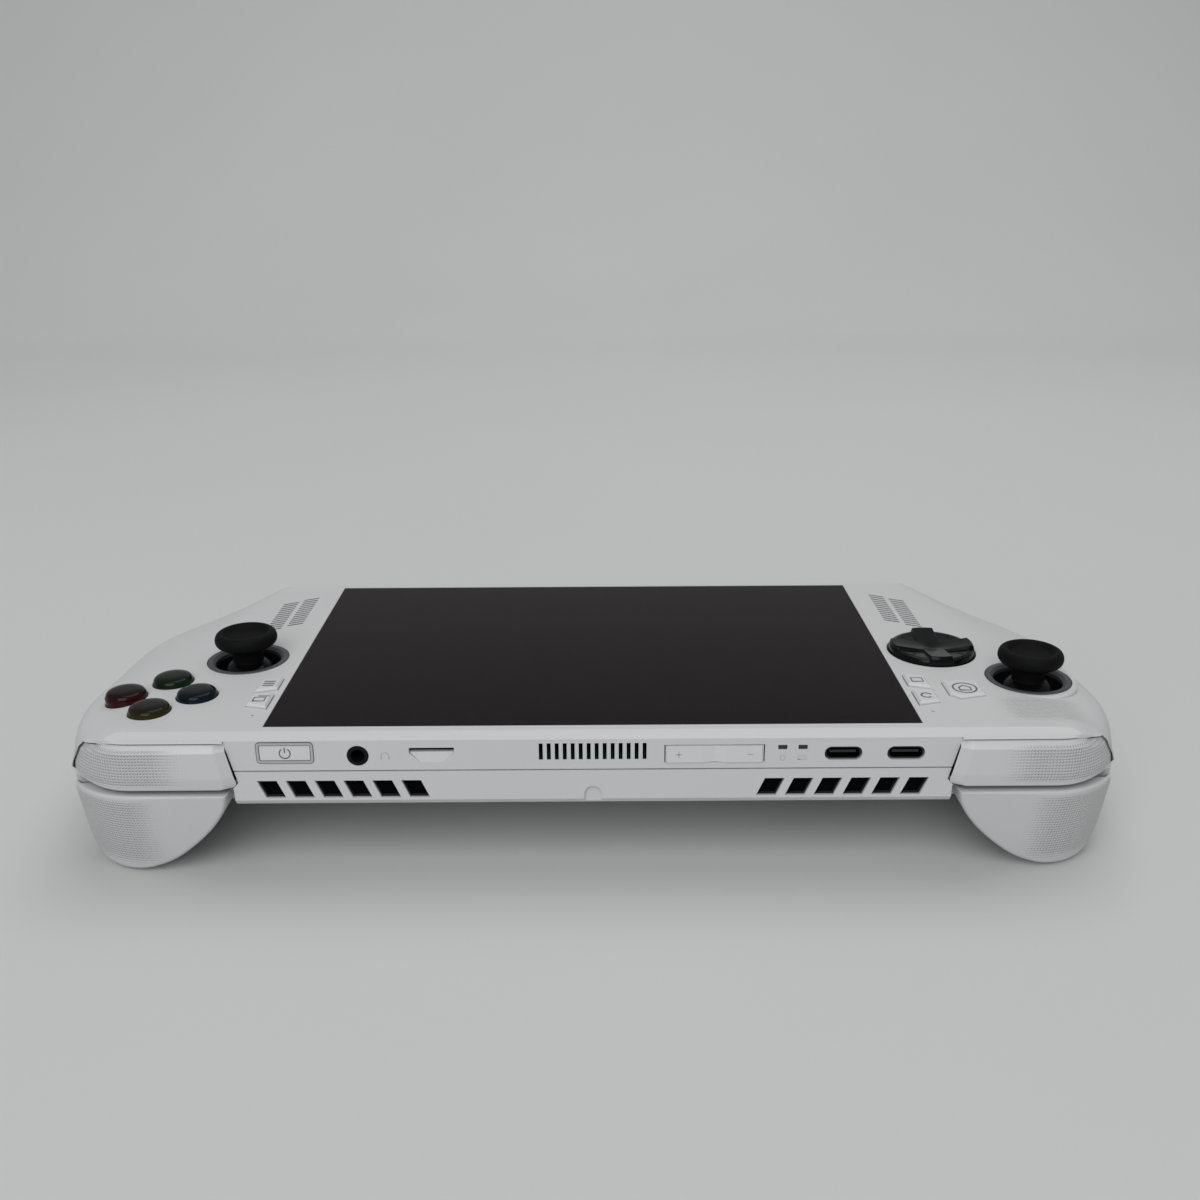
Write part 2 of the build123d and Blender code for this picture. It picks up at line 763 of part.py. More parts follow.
def trigger_pocket(grown):
    """The space that a trigger swings in, made larger by a distance, for the +X side."""
    top, middle, bottom = trigger_pocket_profile
    profile = ((near_y, top[1] + grown), (top[0] + grown, top[1] + grown), (middle[0] + grown, middle[1]),
               (bottom[0] + grown, bottom[1]), (bottom[0] + grown, -overrun), (near_y, -overrun))
    return prism_x(profile, trigger_pocket_x - grown, far_x)


def face_places():
    """Centres of the four face buttons."""
    x, y = face_centre
    return {"far": (x, y + face_pitch), "near": (x, y - face_pitch),
            "outer": (x - face_pitch, y), "inner": (x + face_pitch, y)}


def small_outlines():
    """Outlines of the five menu buttons."""
    return {"view_button": upper_outline, "command_button": lower_outline, "home_button": home_outline,
            "menu_button": flipped(upper_outline, -1), "library_button": flipped(lower_outline, -1)}


def middle_of(points):
    """The mean of a list of points."""
    return sum(x for x, y in points) / len(points), sum(y for x, y in points) / len(points)


def screw_places():
    """Places of the case screws, each with the height of its head's seat."""
    rows = zip((far_screw_place, near_screw_place, grip_screw_place), screw_head_z)
    return [(side * x, y, z) for (x, y), z in rows for side in (1, -1)]


def port_openings():
    """Every opening through the port face, with the finger scoop under the card slot."""
    y1 = inner_face_y + snug
    cuts = [bar_y(power_x, power_z, power_width + 2 * snug, power_height + 2 * snug, power_round + snug,
                  near_y, y1),
            rod_y(jack_x, near_y, y1, jack_z, jack_ring_radius + snug)]
    half_slot = card_slot_width / 2
    low_z = card_z - card_slot_height / 2
    cuts.append(block(card_x - half_slot, card_x + half_slot, near_y, y1, low_z, low_z + card_slot_height))
    narrow = half_slot - card_scoop_narrow
    scoop = prism_y(((card_x - half_slot, low_z), (card_x + half_slot, low_z), (card_x + narrow, card_scoop_z),
                     (card_x - narrow, card_scoop_z)), near_y, y1)
    slope = prism_x(((port_face_y + card_scoop_depth, low_z), (port_face_y, card_scoop_z),
                     (near_y, card_scoop_z), (near_y, low_z)), card_x - half_slot, card_x + half_slot)
    cuts.append(scoop & slope)
    half_rocker = rocker_width / 2 + gap
    half_rise = rocker_height / 2 + button_gap
    cuts.append(block(rocker_x - half_rocker, rocker_x + half_rocker, near_y, y1, rocker_z - half_rise,
                      rocker_z + half_rise))
    for x in usb_places:
        height = usb_height + 2 * usb_hole_margin
        cuts.append(bar_y(x, usb_z, usb_width + 2 * usb_hole_margin, height, height / 2 - snug, near_y, y1))
    for x in light_places:
        half_light = light_width / 2 + snug
        half_lens = light_height / 2 + snug
        cuts.append(block(x - half_light, x + half_light, near_y, y1, light_z - half_lens,
                          light_z + half_lens))
    pitch = (2 * centre_vent_half - centre_vent_slot) / (centre_vent_count - 1)
    for i in range(centre_vent_count):
        x = -centre_vent_half + i * pitch
        cuts.append(block(x, x + centre_vent_slot, near_y, y1, centre_vent_z[0], centre_vent_z[1]))
    return cuts


def face_openings():
    """Every opening through the face."""
    z0 = grip_foot_z + board_top_z
    z1 = face_z + overrun
    cuts = [block(-glass_half_width - snug, glass_half_width + snug, -glass_half_depth - snug,
                  glass_half_depth + snug, glass_bottom_z, z1),
            block(-glass_half_width + ledge, glass_half_width - ledge, -glass_half_depth + ledge,
                  glass_half_depth - ledge, z0, z1)]
    for x, y in stick_places.values():
        cuts.append(drum(x, y, z0, z1, ring_radius + snug))
    cuts.append(drum(pad_place[0], pad_place[1], z0, z1, pad_hole))
    for x, y in face_places().values():
        cuts.append(drum(x, y, z0, z1, face_radius + button_gap))
    for points in small_outlines().values():
        cuts.append(prism_z(points, z0, z1, button_gap))
    for x, y in both_sides([mic_place]):
        cuts.append(drum(x, y, z0, z1, mic_radius))
    for side in (1, -1):
        for column, first_y in zip(grille_columns, grille_far_y):
            for row in range(grille_rows):
                y = first_y - row * grille_pitch
                points = ((column, y), (column + grille_width, y - grille_fall),
                          (column + grille_width, y - grille_fall - grille_slot), (column, y - grille_slot))
                cuts.append(prism_z(flipped(points, side), z0, z1))
    return cuts


def rear_openings():
    """Every opening through the rear shell, with the blind notch in the middle of its near face."""
    y1 = inner_face_y + snug
    cuts = []
    for side in (1, -1):
        for i in range(side_vent_count):
            x = side_vent_first_x + i * side_vent_pitch
            low_x = x - side_vent_slant
            points = ((x, side_vent_z[1]), (x + side_vent_width, side_vent_z[1]),
                      (low_x + side_vent_width, side_vent_z[0]), (low_x, side_vent_z[0]))
            cuts.append(prism_y(flipped(points, side), near_y, y1))
        for i in range(back_vent_count):
            x = back_vent_first_x + i * back_vent_pitch
            points = ((x, back_vent_y[0]), (x + back_vent_width, back_vent_y[0]),
                      (x + back_vent_width + back_vent_slant, back_vent_y[1]),
                      (x + back_vent_slant, back_vent_y[1]))
            cuts.append(prism_z(flipped(points, side), grip_foot_z, fan_bottom_z))
        half_width_here = back_button_width / 2 + button_gap
        half_depth_here = back_button_depth / 2 + button_gap
        x = side * back_button_x
        cuts.append(block(x - half_width_here, x + half_width_here, back_button_y - half_depth_here,
                          back_button_y + half_depth_here, grip_foot_z, back_button_flange_z))
    notch = block(-notch_half, notch_half, near_y, port_face_y + notch_depth, notch_z[0], notch_z[1])
    cuts.append(notch + rod_y(0, near_y, port_face_y + notch_depth, notch_z[1], notch_half))
    return cuts


def make_shells():
    """The front and rear shells, with their walls, bosses and openings."""
    halves = [case_half(0), case_half(wall)]
    outer, inner = [half + mirror(half, about=Plane.YZ) for half in halves]
    outer = outer - (edge_bevels() + [far_notch(0), block(-far_x, far_x, near_y, far_y, -overrun, grip_foot_z)])
    ends = [block(-far_x, far_x, near_y, far_y, -overrun, grip_foot_z + wall),
            block(-far_x, far_x, near_y, inner_face_y, -overrun, face_z + overrun),
            block(-far_x, far_x, half_depth - wall, far_y, -overrun, face_z + overrun), far_notch(wall)]
    pockets = []
    walls = []
    for name, side in sides:
        pockets += [on_side(bumper_pocket(0), side), on_side(trigger_pocket(0), side),
                    on_side(corner_pocket(), side)]
        walls += [on_side(bumper_pocket(wall), side), on_side(trigger_pocket(wall), side)]
    cavity = inner - (ends + walls)
    case = outer - ([cavity] + pockets)

    above = prism_x(((near_y, seam_z(near_y) + seam_gap / 2), (far_y, seam_z(far_y) + seam_gap / 2),
                     (far_y, face_z + overrun), (near_y, face_z + overrun)), -far_x, far_x)
    below = prism_x(((near_y, seam_z(near_y) - seam_gap / 2), (far_y, seam_z(far_y) - seam_gap / 2),
                     (far_y, -overrun), (near_y, -overrun)), -far_x, far_x)

    plateaus = []
    for x, y in stick_places.values():
        low_z = face_z - plateau_depth
        plateaus.append(turned(((ring_radius + snug, low_z), (plateau_radius, low_z),
                                (plateau_radius, face_z - plateau_bevel),
                                (plateau_radius - plateau_bevel, face_z), (ring_radius + snug, face_z)),
                               x, y, 0))
    front_bosses = [drum(x, y, board_top_z, inner_top_z, boss_radius) & cavity
                    for x, y in both_sides(control_boss_places)]
    front_bosses += [drum(x, y, frame_top_z, inner_top_z, pillar_radius) for x, y in both_sides(pillar_places)]
    rear_bosses = []
    rear_holes = []
    for x, y, head_z in screw_places():
        column = drum(x, y, grip_foot_z, inner_top_z, screw_boss_radius) & cavity
        if y != far_screw_place[1]:
            front_bosses.append((column & above) - drum(x, y, grip_foot_z, seam_z(y) + screw_bite,
                                                        screw_radius + fit))
        rear_bosses.append(column & below)
        rear_holes.append(drum(x, y, grip_foot_z - overrun, head_z, screw_recess_radius))
        rear_holes.append(drum(x, y, grip_foot_z - overrun, seam_z(y), screw_radius + snug))
    pins = [drum(x, y, bumper_pin_bottom_z, pocket_roof_z, bumper_pin_radius)
            for x, y in both_sides([bumper_pivot])]
    front = (case & above) + (plateaus + front_bosses + pins)
    front = front - (port_openings() + face_openings())

    feet = fan_half - fan_foot_inset
    for side in (1, -1):
        for dx in (-feet, feet):
            for dy in (-feet, feet):
                rear_bosses.append(drum(side * fan_x + dx, fan_y + dy, grip_foot_z, fan_bottom_z, boss_radius)
                                   & cavity)
        low = block(side * motor_x - motor_radius, side * motor_x + motor_radius,
                    motor_y - motor_cradle_length / 2, motor_y + motor_cradle_length / 2, grip_foot_z, motor_z)
        rear_bosses.append((low & cavity) - rod_y(side * motor_x, motor_y - motor_length,
                                                  motor_y + motor_length, motor_z, motor_radius + fit))
    rear = (case & below) + rear_bosses
    rear = rear - (rear_openings() + rear_holes)
    return front, rear


def make_screws():
    """The case screws, as one group."""
    group = []
    for x, y, head_z in screw_places():
        tip_z = seam_z(y) + screw_bite - snug
        group.append(drum(x, y, head_z - screw_head_height, head_z, screw_head_radius)
                     + drum(x, y, head_z, tip_z, screw_radius))
    return Compound(children=group)


def make_display():
    """The cover glass, the panel under it and the frame that stiffens the middle."""
    glass = block(-glass_half_width, glass_half_width, -glass_half_depth, glass_half_depth, glass_bottom_z,
                  face_z)
    glass = chamfer(glass.edges().group_by(Axis.Z)[-1], snug)
    panel = block(-panel_half_width, panel_half_width, -panel_half_depth, panel_half_depth, panel_bottom_z,
                  glass_bottom_z)
    frame = block(-frame_half_width, frame_half_width, frame_near_y, frame_far_y, frame_bottom_z, frame_top_z)
    studs = [drum(x, y, board_top_z, frame_bottom_z, boss_radius) for x, y in both_sides(board_stud_places)]
    for x, y in both_sides([far_screw_place]):
        low_z = seam_z(y) + seam_gap / 2
        studs.append(drum(x, y, low_z, frame_bottom_z, screw_boss_radius))
        frame = frame + studs.pop()
        frame = frame - drum(x, y, low_z - overrun, seam_z(y) + screw_bite, screw_radius + fit)
    return glass, panel, frame + studs


def make_stick(place):
    """One thumb stick: bezel ring, base, carriage, yoke and cap."""
    x, y = place
    ring_top = face_z + ring_proud
    ring = turned(((ring_opening, ring_top - ring_thickness), (ring_radius, ring_top - ring_thickness),
                   (ring_radius, ring_top - ring_bevel / 2), (ring_radius - ring_bevel / 2, ring_top),
                   (ring_opening + ring_bevel, ring_top), (ring_opening, ring_top - ring_bevel)), x, y, 0)

    base = block(x - stick_base_half, x + stick_base_half, y - stick_base_half, y + stick_base_half,
                 stick_base_bottom_z, stick_base_top_z)
    corner = stick_base_half - stick_base_post / 2
    posts = [Pos(x + dx, y + dy, (stick_base_top_z + board_bottom_z) / 2)
             * Box(stick_base_post, stick_base_post, board_bottom_z - stick_base_top_z)
             for dx in (-corner, corner) for dy in (-corner, corner)]
    well = Pos(x, y, stick_base_bottom_z + stick_base_floor) * extrude(
        RectangleRounded(2 * (carriage_half + snug), 2 * (carriage_half + snug), carriage_round + snug),
        stick_base_top_z - stick_base_bottom_z)
    base = (base + posts) - well

    carriage = Pos(x, y, carriage_bottom_z) * extrude(
        RectangleRounded(2 * carriage_half, 2 * carriage_half, carriage_round),
        carriage_top_z - carriage_bottom_z)
    room = carriage_half - carriage_wall
    carriage = carriage - block(x - room, x + room, y - room, y + room, carriage_bottom_z + carriage_wall,
                                carriage_top_z + overrun)
    carriage = carriage - rod_x(x - overrun - room, x + overrun + room, y, stick_pivot_z,
                                trunnion_radius + fit)

    yoke = block(x - yoke_half, x + yoke_half, y - yoke_half, y + yoke_half, stick_pivot_z - yoke_half_height,
                 stick_pivot_z + yoke_half_height)
    reach = carriage_half - snug
    yoke = yoke + rod_x(x - reach, x + reach, y, stick_pivot_z, trunnion_radius)
    side_room = stem_radius + gap
    yoke = yoke - block(x - yoke_slot_half, x + yoke_slot_half, y - side_room, y + side_room,
                        stick_pivot_z - overrun, stick_pivot_z + overrun)
    yoke = yoke - rod_y(x, y - overrun, y + overrun, stick_pivot_z, cross_pin_radius + fit)

    dome = Pos(x, y, stick_pivot_z) * (Sphere(dome_radius) - Sphere(dome_radius - dome_wall))
    low_z = stick_pivot_z + dome_radius * cos(radians(dome_reach))
    dome = dome & block(x - dome_radius, x + dome_radius, y - dome_radius, y + dome_radius, low_z,
                        stick_pivot_z + dome_radius)
    top_z = overall_height
    rim_z = top_z - cap_rim
    rim_radius = cap_radius - cap_rim
    floor_z = top_z - cap_dish_drop
    stem_top_z = stick_pivot_z + dome_radius - dome_wall / 2
    stem = drum(x, y, stem_bottom_z, stem_top_z, stem_radius)
    neck = drum(x, y, stick_pivot_z + dome_radius - dome_wall, rim_z, neck_radius)
    plate = drum(x, y, rim_z - cap_rim / 2, floor_z, rim_radius)
    rim = Pos(x, y, rim_z) * Torus(rim_radius, cap_rim)
    ridge = Pos(x, y, floor_z) * Torus(cap_ridge_radius - cap_rim / 2, cap_ridge)
    pin = rod_y(x, y - yoke_half, y + yoke_half, stick_pivot_z, cross_pin_radius)
    cap = dome + [neck, stem, plate, rim, ridge, pin]
    return ring, base, carriage, yoke, cap


def make_pad():
    """The direction pad, its cross-shaped pivot and the carrier under it."""
    x, y = pad_place
    z = pad_pivot_z
    pad = turned(((0, pad_bottom_z), (pad_radius, pad_bottom_z), (pad_radius, pad_shoulder_z),
                  (pad_top_radius, pad_rim_z), (pad_top_radius - pad_rim_width, pad_rim_z),
                  (0, pad_rim_z - pad_dish)), x, y, 0)
    for half_x, half_y in ((pad_arm_reach, pad_arm_half), (pad_arm_half, pad_arm_reach)):
        pad = pad + block(x - half_x, x + half_x, y - half_y, y + half_y, pad_bottom_z, pad_arm_z)
    height = pad_dish
    ball = (pad_dish_radius * pad_dish_radius + height * height) / (2 * height)
    pad = pad - Pos(x, y, pad_arm_z + ball - height) * Sphere(ball)
    lugs = []
    for dy in (-pad_lug_place, pad_lug_place):
        lugs.append(block(x - pad_lug_reach, x + pad_lug_reach, y + dy - pad_lug_half, y + dy + pad_lug_half,
                          z - pad_lug_reach + pad_pin_radius / 2, pad_bottom_z))
    pad = pad + lugs
    pad = pad - rod_y(x, y - overrun, y + overrun, z, pad_pin_radius + fit)

    reach_x = carrier_lug_place + pad_lug_half
    reach_y = pad_lug_place + pad_lug_half
    pivot = block(x - pad_hub_half, x + pad_hub_half, y - pad_hub_half, y + pad_hub_half,
                  z - pad_lug_reach, z + pad_lug_reach)
    pivot = pivot + [rod_x(x - reach_x, x + reach_x, y, z, pad_pin_radius),
                     rod_y(x, y - reach_y, y + reach_y, z, pad_pin_radius)]

    half = carrier_half
    carrier = block(x - half, x + half, y - half, y + half, board_top_z, board_top_z + carrier_plate)
    ears = []
    for dx in (-carrier_lug_place, carrier_lug_place):
        ears.append(block(x + dx - pad_lug_half, x + dx + pad_lug_half, y - pad_lug_reach, y + pad_lug_reach,
                          board_top_z + carrier_plate / 2, z + pad_lug_reach))
    carrier = carrier + ears
    carrier = carrier - rod_x(x - half - overrun, x + half + overrun, y, z, pad_pin_radius + fit)
    return pad, pivot, carrier


def make_face_button(x, y):
    """A round face button with a domed top and a hollow underside."""
    rise = face_crown
    edge = face_radius - face_edge_width
    ball = (edge * edge + rise * rise) / (2 * rise)
    side_z = face_top_z - rise
    button = turned(((0, face_flange_z), (face_flange_radius, face_flange_z),
                     (face_flange_radius, face_flange_z + face_flange_thickness),
                     (face_radius, face_flange_z + face_flange_thickness),
                     (face_radius, side_z - face_edge_drop), (edge, side_z), (0, side_z)), x, y, 0)
    crown = Pos(x, y, face_top_z - ball) * Sphere(ball)
    crown = crown & drum(x, y, side_z, face_top_z + overrun, edge)
    well_top_z = face_flange_z + face_well_depth
    return (button + crown) - drum(x, y, face_flange_z - overrun, well_top_z, face_well_radius)


def make_mat():
    """The rubber mat under the face buttons, with a dome for each."""
    top_z = board_top_z + mat_thickness
    discs = []
    for x, y in face_places().values():
        discs.append(drum(x, y, board_top_z, top_z, mat_disc_radius))
        discs.append(drum(x, y, top_z, top_z + mat_dome_height, mat_dome_radius))
    x, y = face_centre
    bridges = [block(x - face_pitch, x + face_pitch, y - mat_bridge_half, y + mat_bridge_half, board_top_z, top_z),
               block(x - mat_bridge_half, x + mat_bridge_half, y - face_pitch, y + face_pitch, board_top_z, top_z)]
    return bridges[0] + ([bridges[1]] + discs)


def make_small_button(points):
    """A menu button with a bevelled top and a flange inside the case."""
    top_z = face_z + small_proud
    body = prism_z(points, small_bottom_z, top_z)
    body = chamfer(body.edges().group_by(Axis.Z)[-1], small_bevel)
    return body + prism_z(points, small_flange_z, small_flange_z + small_flange_thickness, small_flange)


def make_boards():
    """The main board, and the two boards under the controls."""
    half = main_board_half_width
    main = block(-half, half, main_board_near_y, main_board_far_y, board_bottom_z, board_top_z)
    main = main + block(-main_tongue_half, main_tongue_half, main_board_far_y, main_tongue_far_y,
                        board_bottom_z, board_top_z)
    notch = jack_half_width + gap
    main = main - block(jack_x - notch, jack_x + notch, near_y, jack_back_y() + gap, 0, face_z)
    for x, y in both_sides([near_screw_place]):
        main = main - drum(x, y, 0, face_z, screw_boss_radius + snug)
    chip = block(-chip_half, chip_half, chip_y[0], chip_y[1], pipe_z[1], board_bottom_z)
    connector = block(-drive_half / 2, drive_half / 2, drive_y[0], drive_y[0] + drive_connector_depth,
                      drive_z[1], board_bottom_z)
    reach = rocker_width / 2 - 2 * side_switch_half
    switches = [block(x - side_switch_half, x + side_switch_half, main_board_near_y,
                      main_board_near_y + side_switch_depth, board_top_z, board_top_z + side_switch_height)
                for x in (rocker_x - reach, rocker_x + reach)]
    power_back = power_flange_y + power_flange_thickness + power_travel + button_gap
    switches.append(block(power_x - side_switch_half, power_x + side_switch_half, power_back,
                          power_back + side_switch_depth, board_top_z, board_top_z + side_switch_height))
    main = main + [chip, connector] + switches

    controls = []
    for name, side in sides:
        board = prism_z(flipped(control_board_outline, side), board_bottom_z, board_top_z)
        x, y = stick_places[name]
        board = board - drum(x, y, 0, face_z, board_stick_hole)
        spots = [middle_of(points) for points in small_outlines().values()]
        bumps = [drum(x, y, board_top_z, board_top_z + switch_height, switch_radius)
                 for x, y in spots if x * side > 0]
        controls.append(board + bumps)
    return main, controls[0], controls[1]


def jack_back_y():
    """The far end of the audio socket."""
    return port_face_y - ring_proud + jack_length + jack_back_wall


def make_power():
    """The power button and the ring round it."""
    front = port_face_y - power_frame_proud
    inner_width = power_width - 2 * power_frame_wall
    inner_height = power_height - 2 * power_frame_wall
    inner_round = power_round / 2
    ring = bar_y(power_x, power_z, power_width, power_height, power_round, front, front + power_frame_depth)
    ring = ring - bar_y(power_x, power_z, inner_width, inner_height, inner_round, near_y, 0)
    cap = bar_y(power_x, power_z, inner_width - 2 * snug, inner_height - 2 * snug, inner_round - fit,
                front + snug, power_flange_y)
    flange = bar_y(power_x, power_z, inner_width + 2 * power_flange, inner_height, inner_round,
                   power_flange_y, power_flange_y + power_flange_thickness)
    return ring, cap + flange


def make_rocker():
    """The volume rocker and the bracket that holds its pin."""
    half = rocker_width / 2
    rise = rocker_height / 2
    front = port_face_y - rocker_proud
    bevel = rocker_dip
    bar = prism_z(((rocker_x - half, rocker_back_y), (rocker_x - half, front + bevel),
                   (rocker_x - half + bevel, front), (rocker_x - rocker_dip_half, front),
                   (rocker_x, front + rocker_dip), (rocker_x + rocker_dip_half, front),
                   (rocker_x + half - bevel, front), (rocker_x + half, front + bevel),
                   (rocker_x + half, rocker_back_y)), rocker_z - rise, rocker_z + rise)
    stub_z = (rocker_z - rocker_stub_half_height, rocker_z + rocker_stub_half_height)
    stub = block(rocker_x - rocker_stub_half, rocker_x + rocker_stub_half, rocker_back_y,
                 rocker_pin_y + rocker_stub_end, stub_z[0], stub_z[1])
    hole = drum(rocker_x, rocker_pin_y, 0, face_z, rocker_pin_radius + fit)
    arm_z = stub_z[1] + gap
    arm_top_z = arm_z + rocker_bracket_arm
    bracket = block(rocker_x - rocker_bracket_half, rocker_x + rocker_bracket_half, rocker_bracket_y[0],
                    rocker_bracket_y[1], board_top_z, arm_top_z)
    arm = block(rocker_x - rocker_stub_half, rocker_x + rocker_stub_half, rocker_pin_y - rocker_stub_end,
                rocker_bracket_y[0], arm_z, arm_top_z)
    pin = drum(rocker_x, rocker_pin_y, stub_z[0], arm_z, rocker_pin_radius)
    return (bar + stub) - hole, bracket + [arm, pin]


def make_jack():
    """The audio socket: a ring in the port face with a body behind it."""
    front = port_face_y - ring_proud
    back = jack_back_y()
    body = block(jack_x - jack_half_width, jack_x + jack_half_width, jack_body_y, back, jack_bottom_z,
                 jack_top_z)
    reach = jack_half_width + jack_ear
    ears = block(jack_x - reach, jack_x + reach, jack_ear_y[0], jack_ear_y[1], board_top_z,
                 board_top_z + jack_ear_thickness)
    ring = rod_y(jack_x, front, jack_body_y, jack_z, jack_ring_radius)
    return (ring + [body, ears]) - rod_y(jack_x, near_y, front + jack_length, jack_z, jack_bore)


def make_card_reader():
    """The memory card reader, open at its near end."""
    body = block(card_x - card_reader_half, card_x + card_reader_half, card_reader_y[0], card_reader_y[1],
                 board_top_z, card_reader_top_z)
    half = card_slot_width / 2
    low_z = card_z - card_channel / 2
    return body - block(card_x - half, card_x + half, near_y, card_reader_y[1] - usb_shell, low_z,
                        low_z + card_channel)


def make_usb(x):
    """A socket with a metal shell and a tongue."""
    back = usb_front_y + usb_length
    half_round = usb_height / 2 - snug
    shell = bar_y(x, usb_z, usb_width, usb_height, half_round, usb_front_y, back)
    room = bar_y(x, usb_z, usb_width - 2 * usb_shell, usb_height - 2 * usb_shell, half_round - usb_shell,
                 near_y, back - usb_floor)
    tongue = block(x - usb_tongue_width / 2, x + usb_tongue_width / 2, usb_front_y + usb_tongue_setback, back,
                   usb_z - usb_tongue_height / 2, usb_z + usb_tongue_height / 2)
    return (shell - room) + tongue


def make_lights():
    """Two light pipes, each with a leg down to the board."""
    group = []
    for x in light_places:
        half = light_width / 2
        back = port_face_y + light_depth
        lens = block(x - half, x + half, port_face_y, back, light_z - light_height / 2,
                     light_z + light_height / 2)
        group.append(lens + block(x - half, x + half, back - light_leg, back, board_top_z, light_z))
    return Compound(children=group)


def make_bumper():
    """The +X bumper: a hollow key with a thin lip in front of the edge of the face."""
    up = (0, 0, 1)
    whole = extrude(shoulder_plan(bumper_face_y, bumper_corner_radius, 0), face_z, dir=up)
    whole = whole & bumper_reach(bumper_back_y, 0) & prism_y(bumper_outline, near_y, 0)
    behind = extrude(shoulder_plan(bumper_face_y + bumper_skin, bumper_corner_radius - bumper_skin,
                                   bumper_roof_z), face_z, dir=up)
    inside = extrude(shoulder_plan(bumper_face_y + bumper_wall, bumper_corner_radius - bumper_wall, 0),
                     bumper_roof_z - bumper_wall, dir=up)
    inside = inside & prism_y(bumper_outline, near_y, 0, -bumper_wall) & bumper_reach(0, -bumper_wall)
    x, y = bumper_pivot
    hole = drum(x, y, 0, face_z, bumper_pin_radius + fit)
    inner_x = bumper_outline[1][0]
    facet = prism_z(((inner_x - bumper_wall, bumper_face_y + bumper_facet_depth),
                     (inner_x + bumper_facet_width + bumper_wall, bumper_face_y),
                     (inner_x + bumper_facet_width + bumper_wall, near_y),
                     (inner_x - bumper_wall, near_y)), 0, face_z)
    return whole - [behind, inside, hole, facet]


def trigger_form(inset):
    """The outside of the +X trigger, or the same drawn in by a distance."""
    plan = shoulder_plan(trigger_face_y + inset, bumper_corner_radius - inset, trigger_top_z)
    leaned = extrude(plan, hypot(trigger_lean, trigger_top_z), dir=(0, trigger_lean, -trigger_top_z))
    return leaned & prism_y(trigger_outline, near_y, 0, -inset)


def make_trigger():
    """The +X trigger: a hollow shell, open at its back, with two lugs for its pin."""
    ends = ((near_y, trigger_back[-1][1]), (near_y, trigger_back[0][1]))
    kept = prism_x(trigger_back + list(ends), 0, far_x)
    shell = (trigger_form(0) & kept) - trigger_form(trigger_wall)
    y, z = trigger_pivot
    lugs = []
    for x in trigger_lug_places:
        lugs.append(rod_x(x - lug_half, x + lug_half, y, z, lug_radius)
                    + block(x - lug_half, x + lug_half, y - lug_radius, y + lug_radius / 2, z,
                            trigger_top_z - trigger_wall / 2))
    shell = shell + lugs
    reach = 2 * lug_half
    return shell - rod_x(trigger_lug_places[0] - reach, trigger_lug_places[1] + reach, y, z,
                         trigger_pin_radius + fit)


def make_bracket():
    """The +X bracket for the trigger: a plate under the case's floor, two lugs and the pin."""
    top_z = trigger_pocket_profile[0][1] - fit
    low_z = top_z - bracket_plate
    y, z = trigger_pivot
    shape = block(bracket_x[0], bracket_x[1], bracket_y[0], bracket_y[1], low_z, top_z)
    for x in bracket_lug_places:
        web = prism_x(((bracket_y[0], top_z - fit), (bracket_y[0], z + lug_radius), (y, z + lug_radius),
                       (y, z - lug_radius), (bracket_lug_back_y, low_z), (bracket_lug_back_y, top_z - fit)),
                      x - lug_half, x + lug_half)
        shape = shape + [web, rod_x(x - lug_half, x + lug_half, y, z, lug_radius)]
    return shape + rod_x(trigger_lug_places[0] - lug_half, trigger_lug_places[1] + lug_half, y, z,
                         trigger_pin_radius)


def make_back_button(side):
    """A button on the back of a grip, with a flange inside the case."""
    x = side * back_button_x
    low_z = station_shares[4][1] * face_z - back_button_proud
    plane = Plane(origin=(x, back_button_y, low_z))
    cap = extrude(plane * RectangleRounded(back_button_width, back_button_depth, back_button_round),
                  back_button_thickness)
    cap = chamfer(cap.edges().group_by(Axis.Z)[0], small_bevel)
    half_x = back_button_width / 2 + back_button_flange
    half_y = back_button_depth / 2 + back_button_flange
    return cap + block(x - half_x, x + half_x, back_button_y - half_y, back_button_y + half_y,
                       back_button_flange_z, low_z + back_button_thickness)


def make_fan(side):
    """A fan's housing with its shaft, and the rotor that turns on it."""
    x = side * fan_x
    y = fan_y
    top_z = fan_bottom_z + fan_height
    floor_z = fan_bottom_z + fan_wall
    housing = block(x - fan_half, x + fan_half, y - fan_half, y + fan_half, fan_bottom_z, top_z)
    housing = housing - [drum(x, y, floor_z, top_z - fan_wall, fan_cavity),
                         drum(x, y, fan_bottom_z - fan_wall, top_z + fan_wall, fan_inlet),
                         block(x - fan_inlet, x + fan_inlet, y - fan_half - fan_wall, y, floor_z,
                               top_z - fan_wall)]
    spider = [block(x - fan_cavity, x + fan_cavity, y - fan_wall, y + fan_wall, fan_bottom_z, floor_z),
              block(x - fan_wall, x + fan_wall, y - fan_cavity, y + fan_cavity, fan_bottom_z, floor_z),
              drum(x, y, fan_bottom_z, floor_z, rotor_hub)]
    housing = housing + spider + drum(x, y, floor_z, top_z - fan_wall, fan_shaft)

    low_z = floor_z + rotor_lift
    high_z = low_z + rotor_height
    rotor = drum(x, y, low_z, high_z, rotor_hub) - drum(x, y, low_z - fan_wall, high_z - rotor_hub_top,
                                                        rotor_hub - rotor_hub_top)
    rotor = rotor + drum(x, y, low_z, high_z, 2 * fan_shaft)
    rotor = rotor - drum(x, y, low_z - fan_wall, high_z + fan_wall, fan_shaft + fit)
    blades = []
    for i in range(blade_count):
        inner = rotor_hub - rotor_hub_top / 2
        blade = Pos((inner + rotor_radius) / 2, 0, 0) * Box(rotor_radius - inner, blade_thickness, rotor_height)
        blades.append(Pos(x, y, (low_z + high_z) / 2) * Rot(0, 0, i * 360 / blade_count) * blade)
    return housing, rotor + blades


